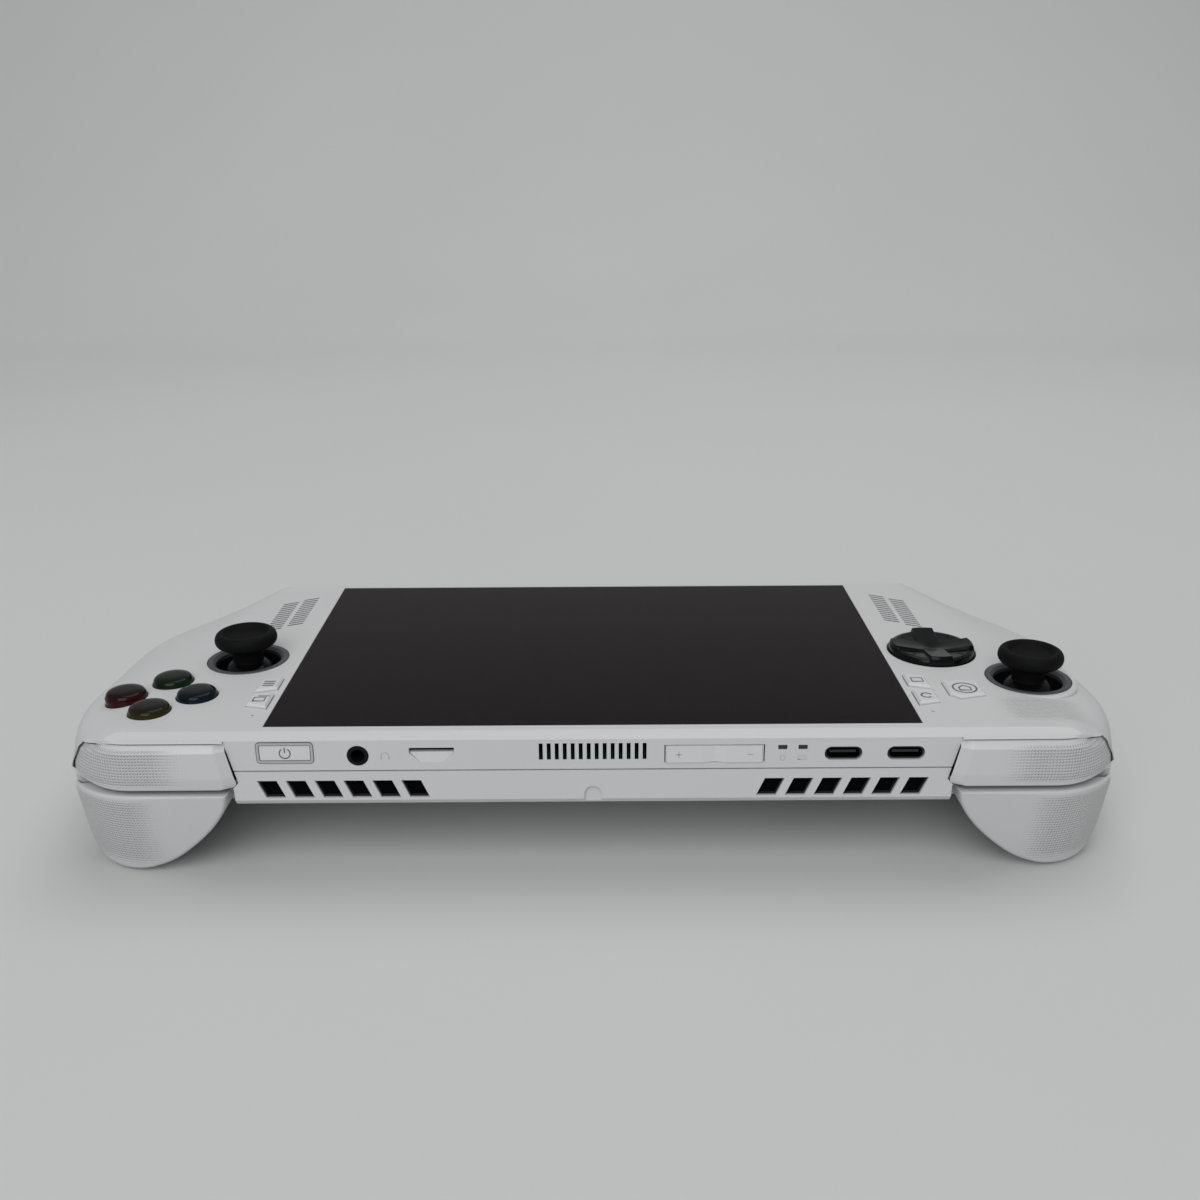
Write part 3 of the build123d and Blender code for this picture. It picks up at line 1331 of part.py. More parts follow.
def make_fins(side):
    """A stack of cooling fins behind the vents of one side."""
    inner_x = min(side * fin_x[0], side * fin_x[1])
    outer_x = max(side * fin_x[0], side * fin_x[1])
    plates = [block(inner_x, outer_x, fin_y[0], fin_y[1], fin_z[1] - fin_plate, fin_z[1]),
              block(inner_x, outer_x, fin_y[0], fin_y[1], fin_z[0], fin_z[0] + fin_plate)]
    pitch = (outer_x - inner_x - fin_thickness) / (fin_count - 1)
    for i in range(fin_count):
        x = inner_x + i * pitch
        plates.append(block(x, x + fin_thickness, fin_y[0], fin_y[1], fin_z[0], fin_z[1]))
    return plates[0] + plates[1:]


def make_heat_sink():
    """The heat pipe over the fins and the plate that takes the chip's heat."""
    pipe = block(-fin_x[1], fin_x[1], pipe_y[0], pipe_y[1], pipe_z[0], pipe_z[1])
    plate = block(-spreader_half, spreader_half, spreader_y[0], spreader_y[1], pipe_z[1] - spreader_thickness,
                  pipe_z[1])
    return pipe + plate


def make_battery():
    """The battery: cells side by side with shallow grooves between them."""
    shape = block(-battery_half_width, battery_half_width, battery_y[0], battery_y[1], battery_z[0],
                  battery_z[1])
    width = 2 * battery_half_width / battery_cells
    for i in range(1, battery_cells):
        x = -battery_half_width + i * width
        shape = shape - block(x - battery_groove, x + battery_groove, battery_y[0] - battery_groove,
                              battery_y[1] + battery_groove, battery_z[1] - battery_groove,
                              battery_z[1] + battery_groove)
    return shape


def make_speaker(side):
    """A speaker box with a round cone at each end."""
    x0 = min(side * speaker_x[0], side * speaker_x[1])
    x1 = max(side * speaker_x[0], side * speaker_x[1])
    shape = block(x0, x1, speaker_y[0], speaker_y[1], speaker_z[0], speaker_z[1])
    middle = (x0 + x1) / 2
    reach = (x1 - x0) / 2
    for y in (speaker_y[0] + reach, speaker_y[1] - reach):
        shape = shape - drum(middle, y, speaker_z[1] - speaker_cone_depth, speaker_z[1] + overrun,
                             speaker_cone_radius)
    return shape


def main():
    """Make every piece and write it to its own file."""
    os.makedirs("parts", exist_ok=True)
    front, rear = make_shells()
    save(front, "front_shell")
    save(rear, "rear_shell")
    save(make_screws(), "case_screws")
    for shape, name in zip(make_display(), ("display_glass", "display_panel", "mid_frame")):
        save(shape, name)
    for side_name, place in stick_places.items():
        for shape, name in zip(make_stick(place), ("ring", "base", "carriage", "yoke", "cap")):
            save(shape, side_name + "_stick_" + name)
    for shape, name in zip(make_pad(), ("direction_pad", "direction_pad_pivot", "direction_pad_carrier")):
        save(shape, name)
    for name, (x, y) in face_places().items():
        save(make_face_button(x, y), "face_button_" + name)
    save(make_mat(), "face_button_mat")
    for name, points in small_outlines().items():
        save(make_small_button(points), name)
    for shape, name in zip(make_boards(), ("main_board", "left_control_board", "right_control_board")):
        save(shape, name)
    for shape, name in zip(make_power(), ("power_button_ring", "power_button")):
        save(shape, name)
    for shape, name in zip(make_rocker(), ("volume_rocker", "volume_rocker_bracket")):
        save(shape, name)
    save(make_jack(), "audio_socket")
    save(make_card_reader(), "card_reader")
    save(Compound(children=[make_usb(x) for x in usb_places]), "usb_sockets")
    save(make_lights(), "status_lights")
    for name, side in sides:
        save(on_side(make_bumper(), side), name + "_bumper")
        save(on_side(make_trigger(), side), name + "_trigger")
        save(on_side(make_bracket(), side), name + "_trigger_bracket")
        save(make_back_button(side), name + "_back_button")
        housing, rotor = make_fan(side)
        save(housing, name + "_fan_housing")
        save(rotor, name + "_fan_rotor")
        save(make_speaker(side), name + "_speaker")
    save(make_heat_sink(), "heat_sink")
    save(Compound(children=[make_fins(side) for name, side in sides]), "cooling_fins")
    save(make_battery(), "battery")
    save(block(-drive_half, drive_half, drive_y[0], drive_y[1], drive_z[0], drive_z[1]), "storage_drive")
    motors = [rod_y(x, motor_y - motor_length / 2, motor_y + motor_length / 2, motor_z, motor_radius)
              for x in (motor_x, -motor_x)]
    save(Compound(children=motors), "vibration_motors")


main()
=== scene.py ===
# %% [markdown]
# # A handheld game console
# A white console lies on its back on a pale table, with its sockets and shoulder keys towards
# the camera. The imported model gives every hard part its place. This file gives the parts their
# finishes, and makes again, as smooth surfaces, the pieces that a hand touches and an eye reads.
# Lengths of pieces are in millimetres until `MM` turns them into metres. Those of finishes, of the
# lamps and of the sheet are in metres.

# %% The frame
import json
import math

import bmesh
import bpy
import numpy as np
from mathutils import Matrix, Vector
from mathutils.bvhtree import BVHTree


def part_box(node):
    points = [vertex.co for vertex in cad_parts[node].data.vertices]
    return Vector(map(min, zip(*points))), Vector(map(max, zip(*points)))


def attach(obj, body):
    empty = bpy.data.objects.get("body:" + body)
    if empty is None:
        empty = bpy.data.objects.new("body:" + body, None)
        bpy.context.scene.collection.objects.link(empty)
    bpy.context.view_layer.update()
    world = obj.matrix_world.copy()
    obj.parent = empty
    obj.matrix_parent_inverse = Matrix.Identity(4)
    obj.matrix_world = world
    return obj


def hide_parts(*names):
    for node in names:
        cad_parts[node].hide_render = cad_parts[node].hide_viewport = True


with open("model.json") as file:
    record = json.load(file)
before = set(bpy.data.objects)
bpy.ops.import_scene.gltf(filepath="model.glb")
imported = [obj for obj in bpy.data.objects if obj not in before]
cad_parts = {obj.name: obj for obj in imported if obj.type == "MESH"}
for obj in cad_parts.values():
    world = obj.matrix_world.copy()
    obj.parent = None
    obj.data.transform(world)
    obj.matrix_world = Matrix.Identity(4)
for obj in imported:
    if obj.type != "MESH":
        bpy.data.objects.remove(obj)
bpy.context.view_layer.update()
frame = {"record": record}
MM = 0.001

# %% [markdown]
# ## Where the camera stood
# The corners of the glass, the sockets and the seams fix the camera: a lens as long as the
# picture is wide, 327 mm in front of the middle of the glass and 175 mm above the table, looking
# down by twenty degrees. Right, up and backward are the columns of its matrix.

# %% The camera
def camera_axes(pitch, yaw, roll):
    """Right, up and backward unit vectors of a camera.

    Forward is +Y turned by yaw about Z and then down by pitch. Right is level, and roll turns
    right and up about forward.
    """
    cp, sp, cy, sy = math.cos(pitch), math.sin(pitch), math.cos(yaw), math.sin(yaw)
    forward = np.array([sy * cp, cy * cp, -sp])
    right = np.array([cy, -sy, 0.0])
    up = np.cross(right, forward)
    cr, sr = math.cos(roll), math.sin(roll)
    return right * cr + up * sr, up * cr - right * sr, -forward


def place_camera(position, angles):
    """A square-framed camera whose focal length equals its sensor width."""
    data = bpy.data.cameras.new("camera")
    data.sensor_width = data.lens = 36.0
    data.clip_start = 0.01
    camera = bpy.data.objects.new("camera", data)
    right, up, back = camera_axes(*angles)
    matrix = Matrix.Identity(4)
    for i, axis in enumerate((right, up, back, np.array(position) * MM)):
        for j in range(3):
            matrix[j][i] = axis[j]
    camera.matrix_world = matrix
    bpy.context.scene.collection.objects.link(camera)
    bpy.context.scene.camera = camera


eye = (2.1, -327.1, 175.2)
pitch_yaw_roll = (19.96, -0.01, -0.35)
place_camera(eye, [math.radians(a) for a in pitch_yaw_roll])
bpy.context.scene.view_settings.view_transform = "Standard"
print("camera at", eye, "mm")

# %% [markdown]
# ## Finishes
# Every surface of the console is moulded plastic, rubber, glass or plated metal, so one builder
# serves them all: a Principled shader whose colour and roughness drift a little, as moulding and
# handling leave them, over a fine grain that is felt as a bump. A finish differs from the next in
# its colour, its gloss and the size of its grain.

# %% Making nodes
def link(tree, output, socket):
    """Join one node's output to another's input."""
    tree.links.new(output, socket)


def named_node(tree, kind, **values):
    """A new node of a kind, with some of its input sockets set by name."""
    node = tree.nodes.new("ShaderNode" + kind)
    for name, value in values.items():
        node.inputs[name.replace("_", " ")].default_value = value
    return node


def colour_mix(tree, blend="MIX"):
    """A Mix node for colours; Factor goes from its input A to its input B."""
    node = tree.nodes.new("ShaderNodeMix")
    node.data_type = "RGBA"
    node.blend_type = blend
    return node


def object_axes(tree):
    """X, Y and Z of the surface's Object coordinates, as the outputs of one node."""
    place = named_node(tree, "TexCoord")
    parts = named_node(tree, "SeparateXYZ")
    link(tree, place.outputs["Object"], parts.inputs["Vector"])
    return parts.outputs


print("nodes are made by named_node, colour_mix and object_axes, and joined by link")


# %% Grain and drift
def drift_group():
    """A shared effect: how far a surface's grain and its handling marks stand from the mean.

    Both outputs are noise on object coordinates and lie round one half: Grain is fine, with the
    scale that it is given, and Drift changes slowly, over a few centimetres.
    """
    group = bpy.data.node_groups.new("grain_and_drift", "ShaderNodeTree")
    group.interface.new_socket("Grain scale", in_out="INPUT", socket_type="NodeSocketFloat")
    group.interface.new_socket("Grain", in_out="OUTPUT", socket_type="NodeSocketFloat")
    group.interface.new_socket("Drift", in_out="OUTPUT", socket_type="NodeSocketFloat")
    inputs = group.nodes.new("NodeGroupInput")
    outputs = group.nodes.new("NodeGroupOutput")
    place = named_node(group, "TexCoord")
    grain = named_node(group, "TexNoise", Detail=3.0)
    drift = named_node(group, "TexNoise", Scale=38.0, Detail=4.0)
    for noise in (grain, drift):
        link(group, place.outputs["Object"], noise.inputs["Vector"])
    link(group, inputs.outputs["Grain scale"], grain.inputs["Scale"])
    link(group, grain.outputs["Fac"], outputs.inputs["Grain"])
    link(group, drift.outputs["Fac"], outputs.inputs["Drift"])
    return group


drifting = drift_group()
print("shared effect:", drifting.name)


# %% A builder of finishes
def finish(name, colour, rough, grain_scale=2600.0, grain_depth=0.00001, colour_drift=0.03,
           rough_drift=0.08, metallic=0.0, specular=0.5):
    """A named finish: a colour that drifts a little, a roughness that drifts, and a fine grain.

    The colour goes from (1 - colour_drift) to (1 + colour_drift) times itself, the roughness by
    half of rough_drift to each side, and the grain is grain_depth high, in metres.
    """
    material = bpy.data.materials.new(name)
    material.use_nodes = True
    tree = material.node_tree
    shader = tree.nodes["Principled BSDF"]
    shader.inputs["Metallic"].default_value = metallic
    shader.inputs["Specular IOR Level"].default_value = specular
    drift = named_node(tree, "Group")
    drift.node_tree = drifting
    drift.inputs["Grain scale"].default_value = grain_scale
    shades = colour_mix(tree)
    shades.inputs["A"].default_value = (*[c * (1 - colour_drift) for c in colour], 1)
    shades.inputs["B"].default_value = (*[min(1.0, c * (1 + colour_drift)) for c in colour], 1)
    link(tree, drift.outputs["Drift"], shades.inputs["Factor"])
    link(tree, shades.outputs["Result"], shader.inputs["Base Color"])
    roughness = named_node(tree, "MapRange", To_Min=max(0.02, rough - rough_drift / 2),
                           To_Max=min(1.0, rough + rough_drift / 2))
    link(tree, drift.outputs["Drift"], roughness.inputs["Value"])
    link(tree, roughness.outputs["Result"], shader.inputs["Roughness"])
    bump = named_node(tree, "Bump", Strength=1.0, Distance=grain_depth)
    link(tree, drift.outputs["Grain"], bump.inputs["Height"])
    link(tree, bump.outputs["Normal"], shader.inputs["Normal"])
    return material


WHITE = (0.585, 0.59, 0.588)
shell_white = finish("shell_white", WHITE, 0.48, grain_scale=2200.0, grain_depth=0.000012, colour_drift=0.012)
print("the shells' finish:", shell_white.name)

# %% White, rubber and black finishes
button_white = finish("button_white", (0.63, 0.635, 0.635), 0.38, grain_depth=0.000006, colour_drift=0.01)
stick_rubber = finish("stick_rubber", (0.0045, 0.0045, 0.005), 0.6, grain_scale=3400.0,
                      grain_depth=0.00003, colour_drift=0.15, specular=0.08)
ring_grey = finish("ring_grey", (0.060, 0.061, 0.066), 0.42, grain_depth=0.00001)
well_black = finish("well_black", (0.008, 0.008, 0.009), 0.6)
pad_black = finish("pad_black", (0.003, 0.003, 0.0035), 0.2, grain_scale=1800.0,
                   grain_depth=0.000002, specular=0.15)
glass_black = finish("glass_black", (0.0085, 0.0055, 0.0068), 0.08, grain_scale=400.0,
                     grain_depth=0.0000002, colour_drift=0.02, rough_drift=0.03, specular=0.05)
panel_black = finish("panel_black", (0.01, 0.009, 0.01), 0.3)
inner_black = finish("inner_black", (0.005, 0.005, 0.0055), 0.5, specular=0.12)
silicone_grey = finish("silicone_grey", (0.16, 0.16, 0.17), 0.7)
light_frost = finish("light_frost", (0.018, 0.018, 0.02), 0.3)
print("white, rubber and black:", button_white.name, "to", light_frost.name)

# %% Board and metal finishes
board_green = finish("board_green", (0.02, 0.09, 0.05), 0.42, grain_scale=900.0, grain_depth=0.00002)
frame_grey = finish("frame_grey", (0.42, 0.43, 0.45), 0.38, metallic=1.0)
pipe_copper = finish("pipe_copper", (0.62, 0.3, 0.18), 0.32, metallic=1.0)
plated_metal = finish("plated_metal", (0.055, 0.055, 0.058), 0.4, metallic=1.0)
ring_chrome = finish("ring_chrome", (0.62, 0.63, 0.65), 0.22, metallic=1.0, grain_depth=0.000002)
print("board and metal:", board_green.name, "to", ring_chrome.name)

# %% Which CAD part gets which finish
finish_of_slot = {
    "shell": shell_white, "white_button": button_white, "power_cap": button_white,
    "power_ring": ring_chrome, "glass": glass_black, "display": panel_black,
    "stick_rubber": stick_rubber, "dark_ring": ring_grey, "gloss_black": pad_black,
    "frame_metal": frame_grey, "fin_metal": well_black, "copper": pipe_copper,
    "socket_metal": plated_metal, "board": board_green, "inner_plastic": inner_black,
    "button_rubber": silicone_grey, "light_pipe": light_frost,
}
slot_of_node = {part["node"]: part["material_slot"] for part in frame["record"]["subparts"]}
for node, slot in slot_of_node.items():
    materials = bpy.data.objects[node].data.materials
    for i in range(len(materials)):
        materials[i] = finish_of_slot[slot]
    if not len(materials):
        materials.append(finish_of_slot[slot])
print("finishes on", len(slot_of_node), "nodes")

# %% [markdown]
# ## Table, backdrop and light
# The photograph was taken on a pale grey sheet that rises behind the console, under soft daylight
# from above. One sheet, flat and then curved up, stands in for it. Its grey changes slowly, and a
# painted light makes it lighter with the distance. A broad lamp overhead, a broader one in front
# and an even grey room round them leave only a soft dark pool under the body.

# %% Surfaces from arrays
def mesh_piece(name, points, faces, material):
    """An object at the origin from an array of points and a list of faces, both worked out before."""
    mesh = bpy.data.meshes.new(name)
    mesh.from_pydata([tuple(p) for p in np.asarray(points, float)], [], [tuple(f) for f in faces])
    mesh.materials.append(material)
    mesh.polygons.foreach_set("use_smooth", [True] * len(mesh.polygons))
    mesh.update()
    piece = bpy.data.objects.new(name, mesh)
    bpy.context.scene.collection.objects.link(piece)
    return piece


def grid_faces(rows, columns, close_rows=False, close_columns=False):
    """Quads between neighbours of a grid of points stored row by row, closed round where asked."""
    i = np.arange(rows if close_rows else rows - 1)
    j = np.arange(columns if close_columns else columns - 1)
    i, j = np.meshgrid(i, j, indexing="ij")
    i2, j2 = (i + 1) % rows, (j + 1) % columns
    quads = np.stack([i * columns + j, i * columns + j2, i2 * columns + j2, i2 * columns + j], axis=-1)
    return quads.reshape(-1, 4)


print("a grid of 3 by 4 points has", len(grid_faces(3, 4)), "faces, and", len(grid_faces(3, 4, True)),
      "when its rows close")


# %% The sheet's shape
def sweep_points(width, near, far, height, bend, steps=40):
    """A sheet that runs level from near to far, turns up through a quarter circle and rises.

    In the turn, y = far + bend sin a and z = bend - bend cos a, for an angle a from 0 to 90 degrees.
    """
    turn = np.linspace(0, np.pi / 2, steps)
    y = np.concatenate([[near], far + bend * np.sin(turn), [far + bend]])
    z = np.concatenate([[0], bend - bend * np.cos(turn), [height]])
    x = np.linspace(-width, width, 9)
    X, Y = np.meshgrid(x, y)
    Z = np.repeat(z[:, None], len(x), axis=1)
    return np.stack([X, Y, Z], axis=-1).reshape(-1, 3), len(y), len(x)


points, rows, columns = sweep_points(width=3.0, near=-1.6, far=0.9, height=3.2, bend=0.9)
print("sheet of", len(points), "points")

# %% The sheet's grey
sheet_grey = bpy.data.materials.new("sheet_grey")
sheet_grey.use_nodes = True
tree = sheet_grey.node_tree
shader = tree.nodes["Principled BSDF"]
shader.inputs["Roughness"].default_value = 0.75
shader.inputs["Specular IOR Level"].default_value = 0.2
place = named_node(tree, "TexCoord")
cloud = named_node(tree, "TexNoise", Scale=2.0, Detail=5.0)
tone = colour_mix(tree)
tone.inputs["A"].default_value = (0.60, 0.605, 0.595, 1)
tone.inputs["B"].default_value = (0.66, 0.665, 0.655, 1)
# Painted light: the sheet's grey is scaled from 0.92 to 1.17 times as it runs farther back.
far_light_scale = named_node(tree, "MapRange", From_Min=-0.25, From_Max=1.0, To_Min=0.92, To_Max=1.17)
painted_far_light = named_node(tree, "VectorMath")
painted_far_light.operation = "SCALE"
link(tree, place.outputs["Object"], cloud.inputs["Vector"])
link(tree, cloud.outputs["Fac"], tone.inputs["Factor"])
link(tree, object_axes(tree)["Y"], far_light_scale.inputs["Value"])
link(tree, tone.outputs["Result"], painted_far_light.inputs[0])
link(tree, far_light_scale.outputs["Result"], painted_far_light.inputs["Scale"])
link(tree, painted_far_light.outputs["Vector"], shader.inputs["Base Color"])
sheet = mesh_piece("sheet", points, grid_faces(rows, columns), sheet_grey)
print("sheet laid")

# %% The lamps
def lamp(name, position, target, size, power, colour):
    """A square area lamp that faces a target; lengths in metres, power in watts."""
    data = bpy.data.lights.new(name, "AREA")
    data.size = size
    data.energy = power
    data.color = colour
    obj = bpy.data.objects.new(name, data)
    way = np.array(target, float) - np.array(position, float)
    way /= np.linalg.norm(way)
    side = np.cross(way, [0, 0, 1.0])
    side /= np.linalg.norm(side)
    top = np.cross(side, way)
    obj.matrix_world = Matrix((
        (side[0], top[0], -way[0], position[0]), (side[1], top[1], -way[1], position[1]),
        (side[2], top[2], -way[2], position[2]), (0, 0, 0, 1)))
    bpy.context.scene.collection.objects.link(obj)


lamp("window_above", (0.25, 0.35, 1.5), (0, 0, 0), size=1.2, power=6.8, colour=(1.0, 0.99, 0.97))
lamp("room_front", (-0.3, -1.4, 1.2), (0, 0, 0.02), size=1.4, power=19.0, colour=(0.97, 0.985, 1.0))
world = bpy.data.worlds.new("room")
world.use_nodes = True
background = world.node_tree.nodes["Background"]
background.inputs["Color"].default_value = (0.95, 0.97, 1.0, 1)
background.inputs["Strength"].default_value = 0.30
bpy.context.scene.world = world
print("two lamps and a grey room")

# %% [markdown]
# ## Round pieces
# Thumb sticks, face buttons and the wells under the sticks are all turned forms. A profile of
# (radius, height) points, rounded by a curve through them, is carried once round an upright axis.

# %% Turning a profile
def through(points, steps=8):
    """Catmull-Rom curve: between two points it is the cubic whose slopes are half the steps across
    each point's neighbours, so it passes through every point without a corner."""
    p = np.asarray(points, float)
    p = np.vstack([2 * p[0] - p[1], p, 2 * p[-1] - p[-2]])
    t = np.linspace(0, 1, steps, endpoint=False)[None, :, None]
    a, b, c, d = p[:-3, None], p[1:-2, None], p[2:-1, None], p[3:, None]
    square, cube = 2 * a - 5 * b + 4 * c - d, 3 * b - a - 3 * c + d
    curve = 0.5 * (2 * b + (c - a) * t + square * t**2 + cube * t**3)
    return np.vstack([curve.reshape(-1, p.shape[1]), p[-2]])


def turn_profile(profile, centre, steps):
    """Points (x + r cos a, y + r sin a, h) for every (r, h) of the profile and every angle a."""
    profile = np.asarray(profile, float)
    a = np.linspace(0, 2 * np.pi, steps, endpoint=False)[:, None]
    x = centre[0] + profile[None, :, 0] * np.cos(a)
    y = centre[1] + profile[None, :, 0] * np.sin(a)
    z = np.repeat(profile[None, :, 1], steps, axis=0)
    points = np.stack([x, y, z], axis=-1).reshape(-1, 3) * MM
    return points, grid_faces(steps, len(profile), close_rows=True)


print("a curve through 3 points has", len(through([(0, 0), (1, 2), (2, 0)])), "points")


# %% Finishing a piece
SAME_PLACE, NO_LENGTH = 2e-7, 1e-8


def tidy(piece, sharp):
    """Merge points that share a place, turn all faces outwards and keep corners above an angle sharp."""
    mesh = piece.data
    work = bmesh.new()
    work.from_mesh(mesh)
    bmesh.ops.remove_doubles(work, verts=work.verts, dist=SAME_PLACE)
    bmesh.ops.dissolve_degenerate(work, edges=work.edges, dist=NO_LENGTH)
    bmesh.ops.recalc_face_normals(work, faces=work.faces)
    work.to_mesh(mesh)
    work.free()
    mesh.set_sharp_from_angle(angle=math.radians(sharp))
    mesh.update()
    return piece


def dress(piece, body, slot, *nodes):
    """Attach a piece to the body it rides on and hide the nodes that it stands for; slot, where its finish
    would come from, is not used.
    """
    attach(piece, body)
    if nodes:
        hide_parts(*nodes)
    return piece


def turned_piece(name, profile, centre, material, steps=96, sharp=40.0):
    """A piece turned from a closed profile, in steps round its axis."""
    points, faces = turn_profile(profile, centre, steps)
    return tidy(mesh_piece(name, points, faces, material), sharp)


def grid_piece(name, grid, sign, material):
    """A piece from a grid of points in millimetres, closed round its columns, mirrored where sign is -1."""
    points = grid.reshape(-1, 3) * [sign, 1, 1] * MM
    return mesh_piece(name, points, grid_faces(*grid.shape[:2], close_columns=True), material)


def with_ends(grid):
    """The grid with one more row at each end, which holds the end row's mean and so closes it."""
    means = [row.mean(axis=0)[None, None] for row in (grid[0], grid[-1])]
    first, last = (np.repeat(mean, grid.shape[1], axis=1) for mean in means)
    return np.concatenate([first, grid, last], axis=0)


# The player's left is at positive X.
SIDES = (("left", 1), ("right", -1))
print("mirrored sides:", SIDES)

# %% [markdown]
# ## Thumb sticks
# Each stick is a thick rubber ring round a shallow dish, on a waisted neck that stands in a thin
# glossy dome. The dome is part of a sphere about the joint, so it turns under the bezel without
# opening a gap. A fixed dark sleeve lines the well round it. All three are profiles, turned.

# %% The profiles
pivot_z, dome_r = 34.0, 8.9
neck_r, neck_foot = 3.0, 40.6
dome_angle = np.radians(np.linspace(28, 54, 12))
dome_way = np.stack([np.sin(dome_angle), np.cos(dome_angle)], axis=1)
dome_line = np.stack([dome_r * np.sin(dome_angle), pivot_z + dome_r * np.cos(dome_angle)], axis=1)
inner_line = dome_line[::-1] - dome_way[::-1]
brim = [(neck_r, dome_line[0, 1] + 0.25)]
bowl = np.vstack([brim, dome_line, inner_line, [(neck_r, inner_line[-1, 1] + 0.25)], brim])
cap_line = through([(0, 49.12), (2.4, 49.10), (4.4, 49.14), (5.2, 49.32), (5.75, 49.75), (6.2, 50.22),
                    (6.75, 50.55), (7.35, 50.52), (8.05, 50.1), (8.5, 49.35), (8.66, 48.5), (8.5, 47.6),
                    (8.0, 46.9), (7.1, 46.4), (5.9, 46.05), (4.95, 45.7), (4.5, 45.1), (4.35, 44.3),
                    (4.3, 43.3), (4.3, 42.3), (4.4, 41.6), (4.4, neck_foot)], 6)
cap_line = np.vstack([cap_line, [(0, neck_foot)]])
well = [(9.15, 40.3), (10.9, 40.3), (10.9, 35.3), (9.95, 35.3), (9.95, 35.6), (10.6, 35.6), (10.6, 40.0),
        (9.15, 40.0), (9.15, 40.3)]
print("cap of", len(cap_line), "profile points, bowl of", len(bowl))

# %% The sticks
stick_centres = {"left": (119.4, -24.9), "right": (-99.2, -8.1)}
for side, centre in stick_centres.items():
    cap = turned_piece(side + "_stick_top", cap_line, centre, stick_rubber, 120, 50)
    dress(cap, side + "_stick", "stick_rubber", side + "_stick_cap")
    dress(turned_piece(side + "_stick_dome", bowl, centre, pad_black), side + "_stick", "gloss_black")
    dress(turned_piece(side + "_stick_well", well, centre, well_black), "root", "dark_ring")
print("two sticks")

# %% [markdown]
# ## Direction pad
# A glossy disc with a shallow dish. Four arms rise out of the dish towards the rim and stand a
# little over it, and short grooves show the diagonals. Its top is a height over a polar grid, which
# gives round edges where the disc is round and lets the arms cross it.

# %% The pad's top
dish_r, dish_z, dish_rise = 10.4, 42.75, 1.05
rim_fall, rim_width = 0.18, 0.7
arm_r, arm_z, arm_rise, arm_half_width, arm_side = 11.6, 43.0, 1.85, 3.25, 0.3
hollow_r, hollow_depth = 2.6, 0.25
groove_half_width, groove_depth, groove_end = 0.28, 0.28, 0.3
groove_inner_r, groove_outer_r = 8.4, 10.3


def pad_height(x, y):
    """Height of the pad's top: the higher of a dish and two crossed bars, less four short grooves.

    The dish rises with the 1.5th power of the radius, and falls a little past its rim. A bar's
    height falls off over a third of a millimetre at its sides, rises almost evenly along its
    length, and has a bell-shaped hollow in the middle.
    """
    r = np.hypot(x, y)
    dish = dish_z + dish_rise * np.clip(r / dish_r, 0, 1) ** 1.5
    dish = dish - rim_fall * np.clip((r - dish_r) / rim_width, 0, 1) ** 2
    across = np.minimum(np.abs(x), np.abs(y))
    side = np.clip((arm_half_width - across) / arm_side, 0, 1)
    side = side * side * (3 - 2 * side)
    bar = arm_z + arm_rise * np.clip(r / arm_r, 0, 1) ** 1.15
    hollow = np.exp(-((r / hollow_r) ** 2)) * hollow_depth
    height = dish + np.maximum(bar - hollow - dish, 0) * side
    off_diagonal = np.abs(np.abs(x) - np.abs(y)) / np.sqrt(2)
    groove = np.clip(1 - off_diagonal / groove_half_width, 0, 1)
    groove = groove * np.clip((r - groove_inner_r) / groove_end, 0, 1)
    groove = groove * np.clip((groove_outer_r - r) / groove_end, 0, 1)
    return height - groove_depth * groove


print("pad's middle at", pad_height(0.0, 0.0).round(2), "mm, an arm's end at", pad_height(11.0, 0.0).round(2))

# %% The pad
pad_centre = np.array([98.0, -4.9])
radii = np.concatenate([np.linspace(0, dish_r, 66), np.linspace(10.5, 11.25, 7)])
angles = np.linspace(0, 2 * np.pi, 384, endpoint=False)
R, A = np.meshgrid(radii, angles)
top = np.stack([R * np.cos(A), R * np.sin(A), pad_height(R * np.cos(A), R * np.sin(A))], axis=-1)
skirt_r, skirt_drop = np.array([(11.5, -0.18), (11.75, -0.7), (11.95, -1.5), (12.0, -2.0)]).T
foot_r, foot_z = np.array([(12.0, 40.3), (11.4, 40.0), (0.0, 40.0)]).T
wall_r = np.repeat(np.concatenate([skirt_r, foot_r])[None], len(angles), axis=0)
wall_z = np.concatenate([top[:, -1:, 2] + skirt_drop[None] * 0.9,
                         np.repeat(foot_z[None], len(angles), axis=0)], axis=1)
wall = np.stack([wall_r * np.cos(angles)[:, None], wall_r * np.sin(angles)[:, None], wall_z], axis=-1)
pad_grid = np.concatenate([top, wall], axis=1)
pad_points = pad_grid.reshape(-1, 3) + [*pad_centre, 0]
pad_faces = grid_faces(*pad_grid.shape[:2], close_rows=True)
pad = mesh_piece("pad_disc", pad_points * MM, pad_faces, pad_black)
dress(tidy(pad, 38), "direction_pad", "gloss_black", "direction_pad")
print("pad of", len(pad_points), "points")

# %% [markdown]
# ## Face buttons
# Four clear-topped domes over dark, faintly coloured cores: green and blue, red and yellow. The
# tint is strongest low on the side, where the light goes through the edge.

# %% Their tints
def recolour(material, factor, colour, blend="MIX"):
    """Lay another colour over a finish's own, by the factor that a socket gives."""
    tree = material.node_tree
    shader = tree.nodes["Principled BSDF"]
    mix = colour_mix(tree, blend)
    mix.inputs["B"].default_value = (*colour, 1)
    link(tree, factor, mix.inputs["Factor"])
    link(tree, shader.inputs["Base Color"].links[0].from_socket, mix.inputs["A"])
    link(tree, mix.outputs["Result"], shader.inputs["Base Color"])


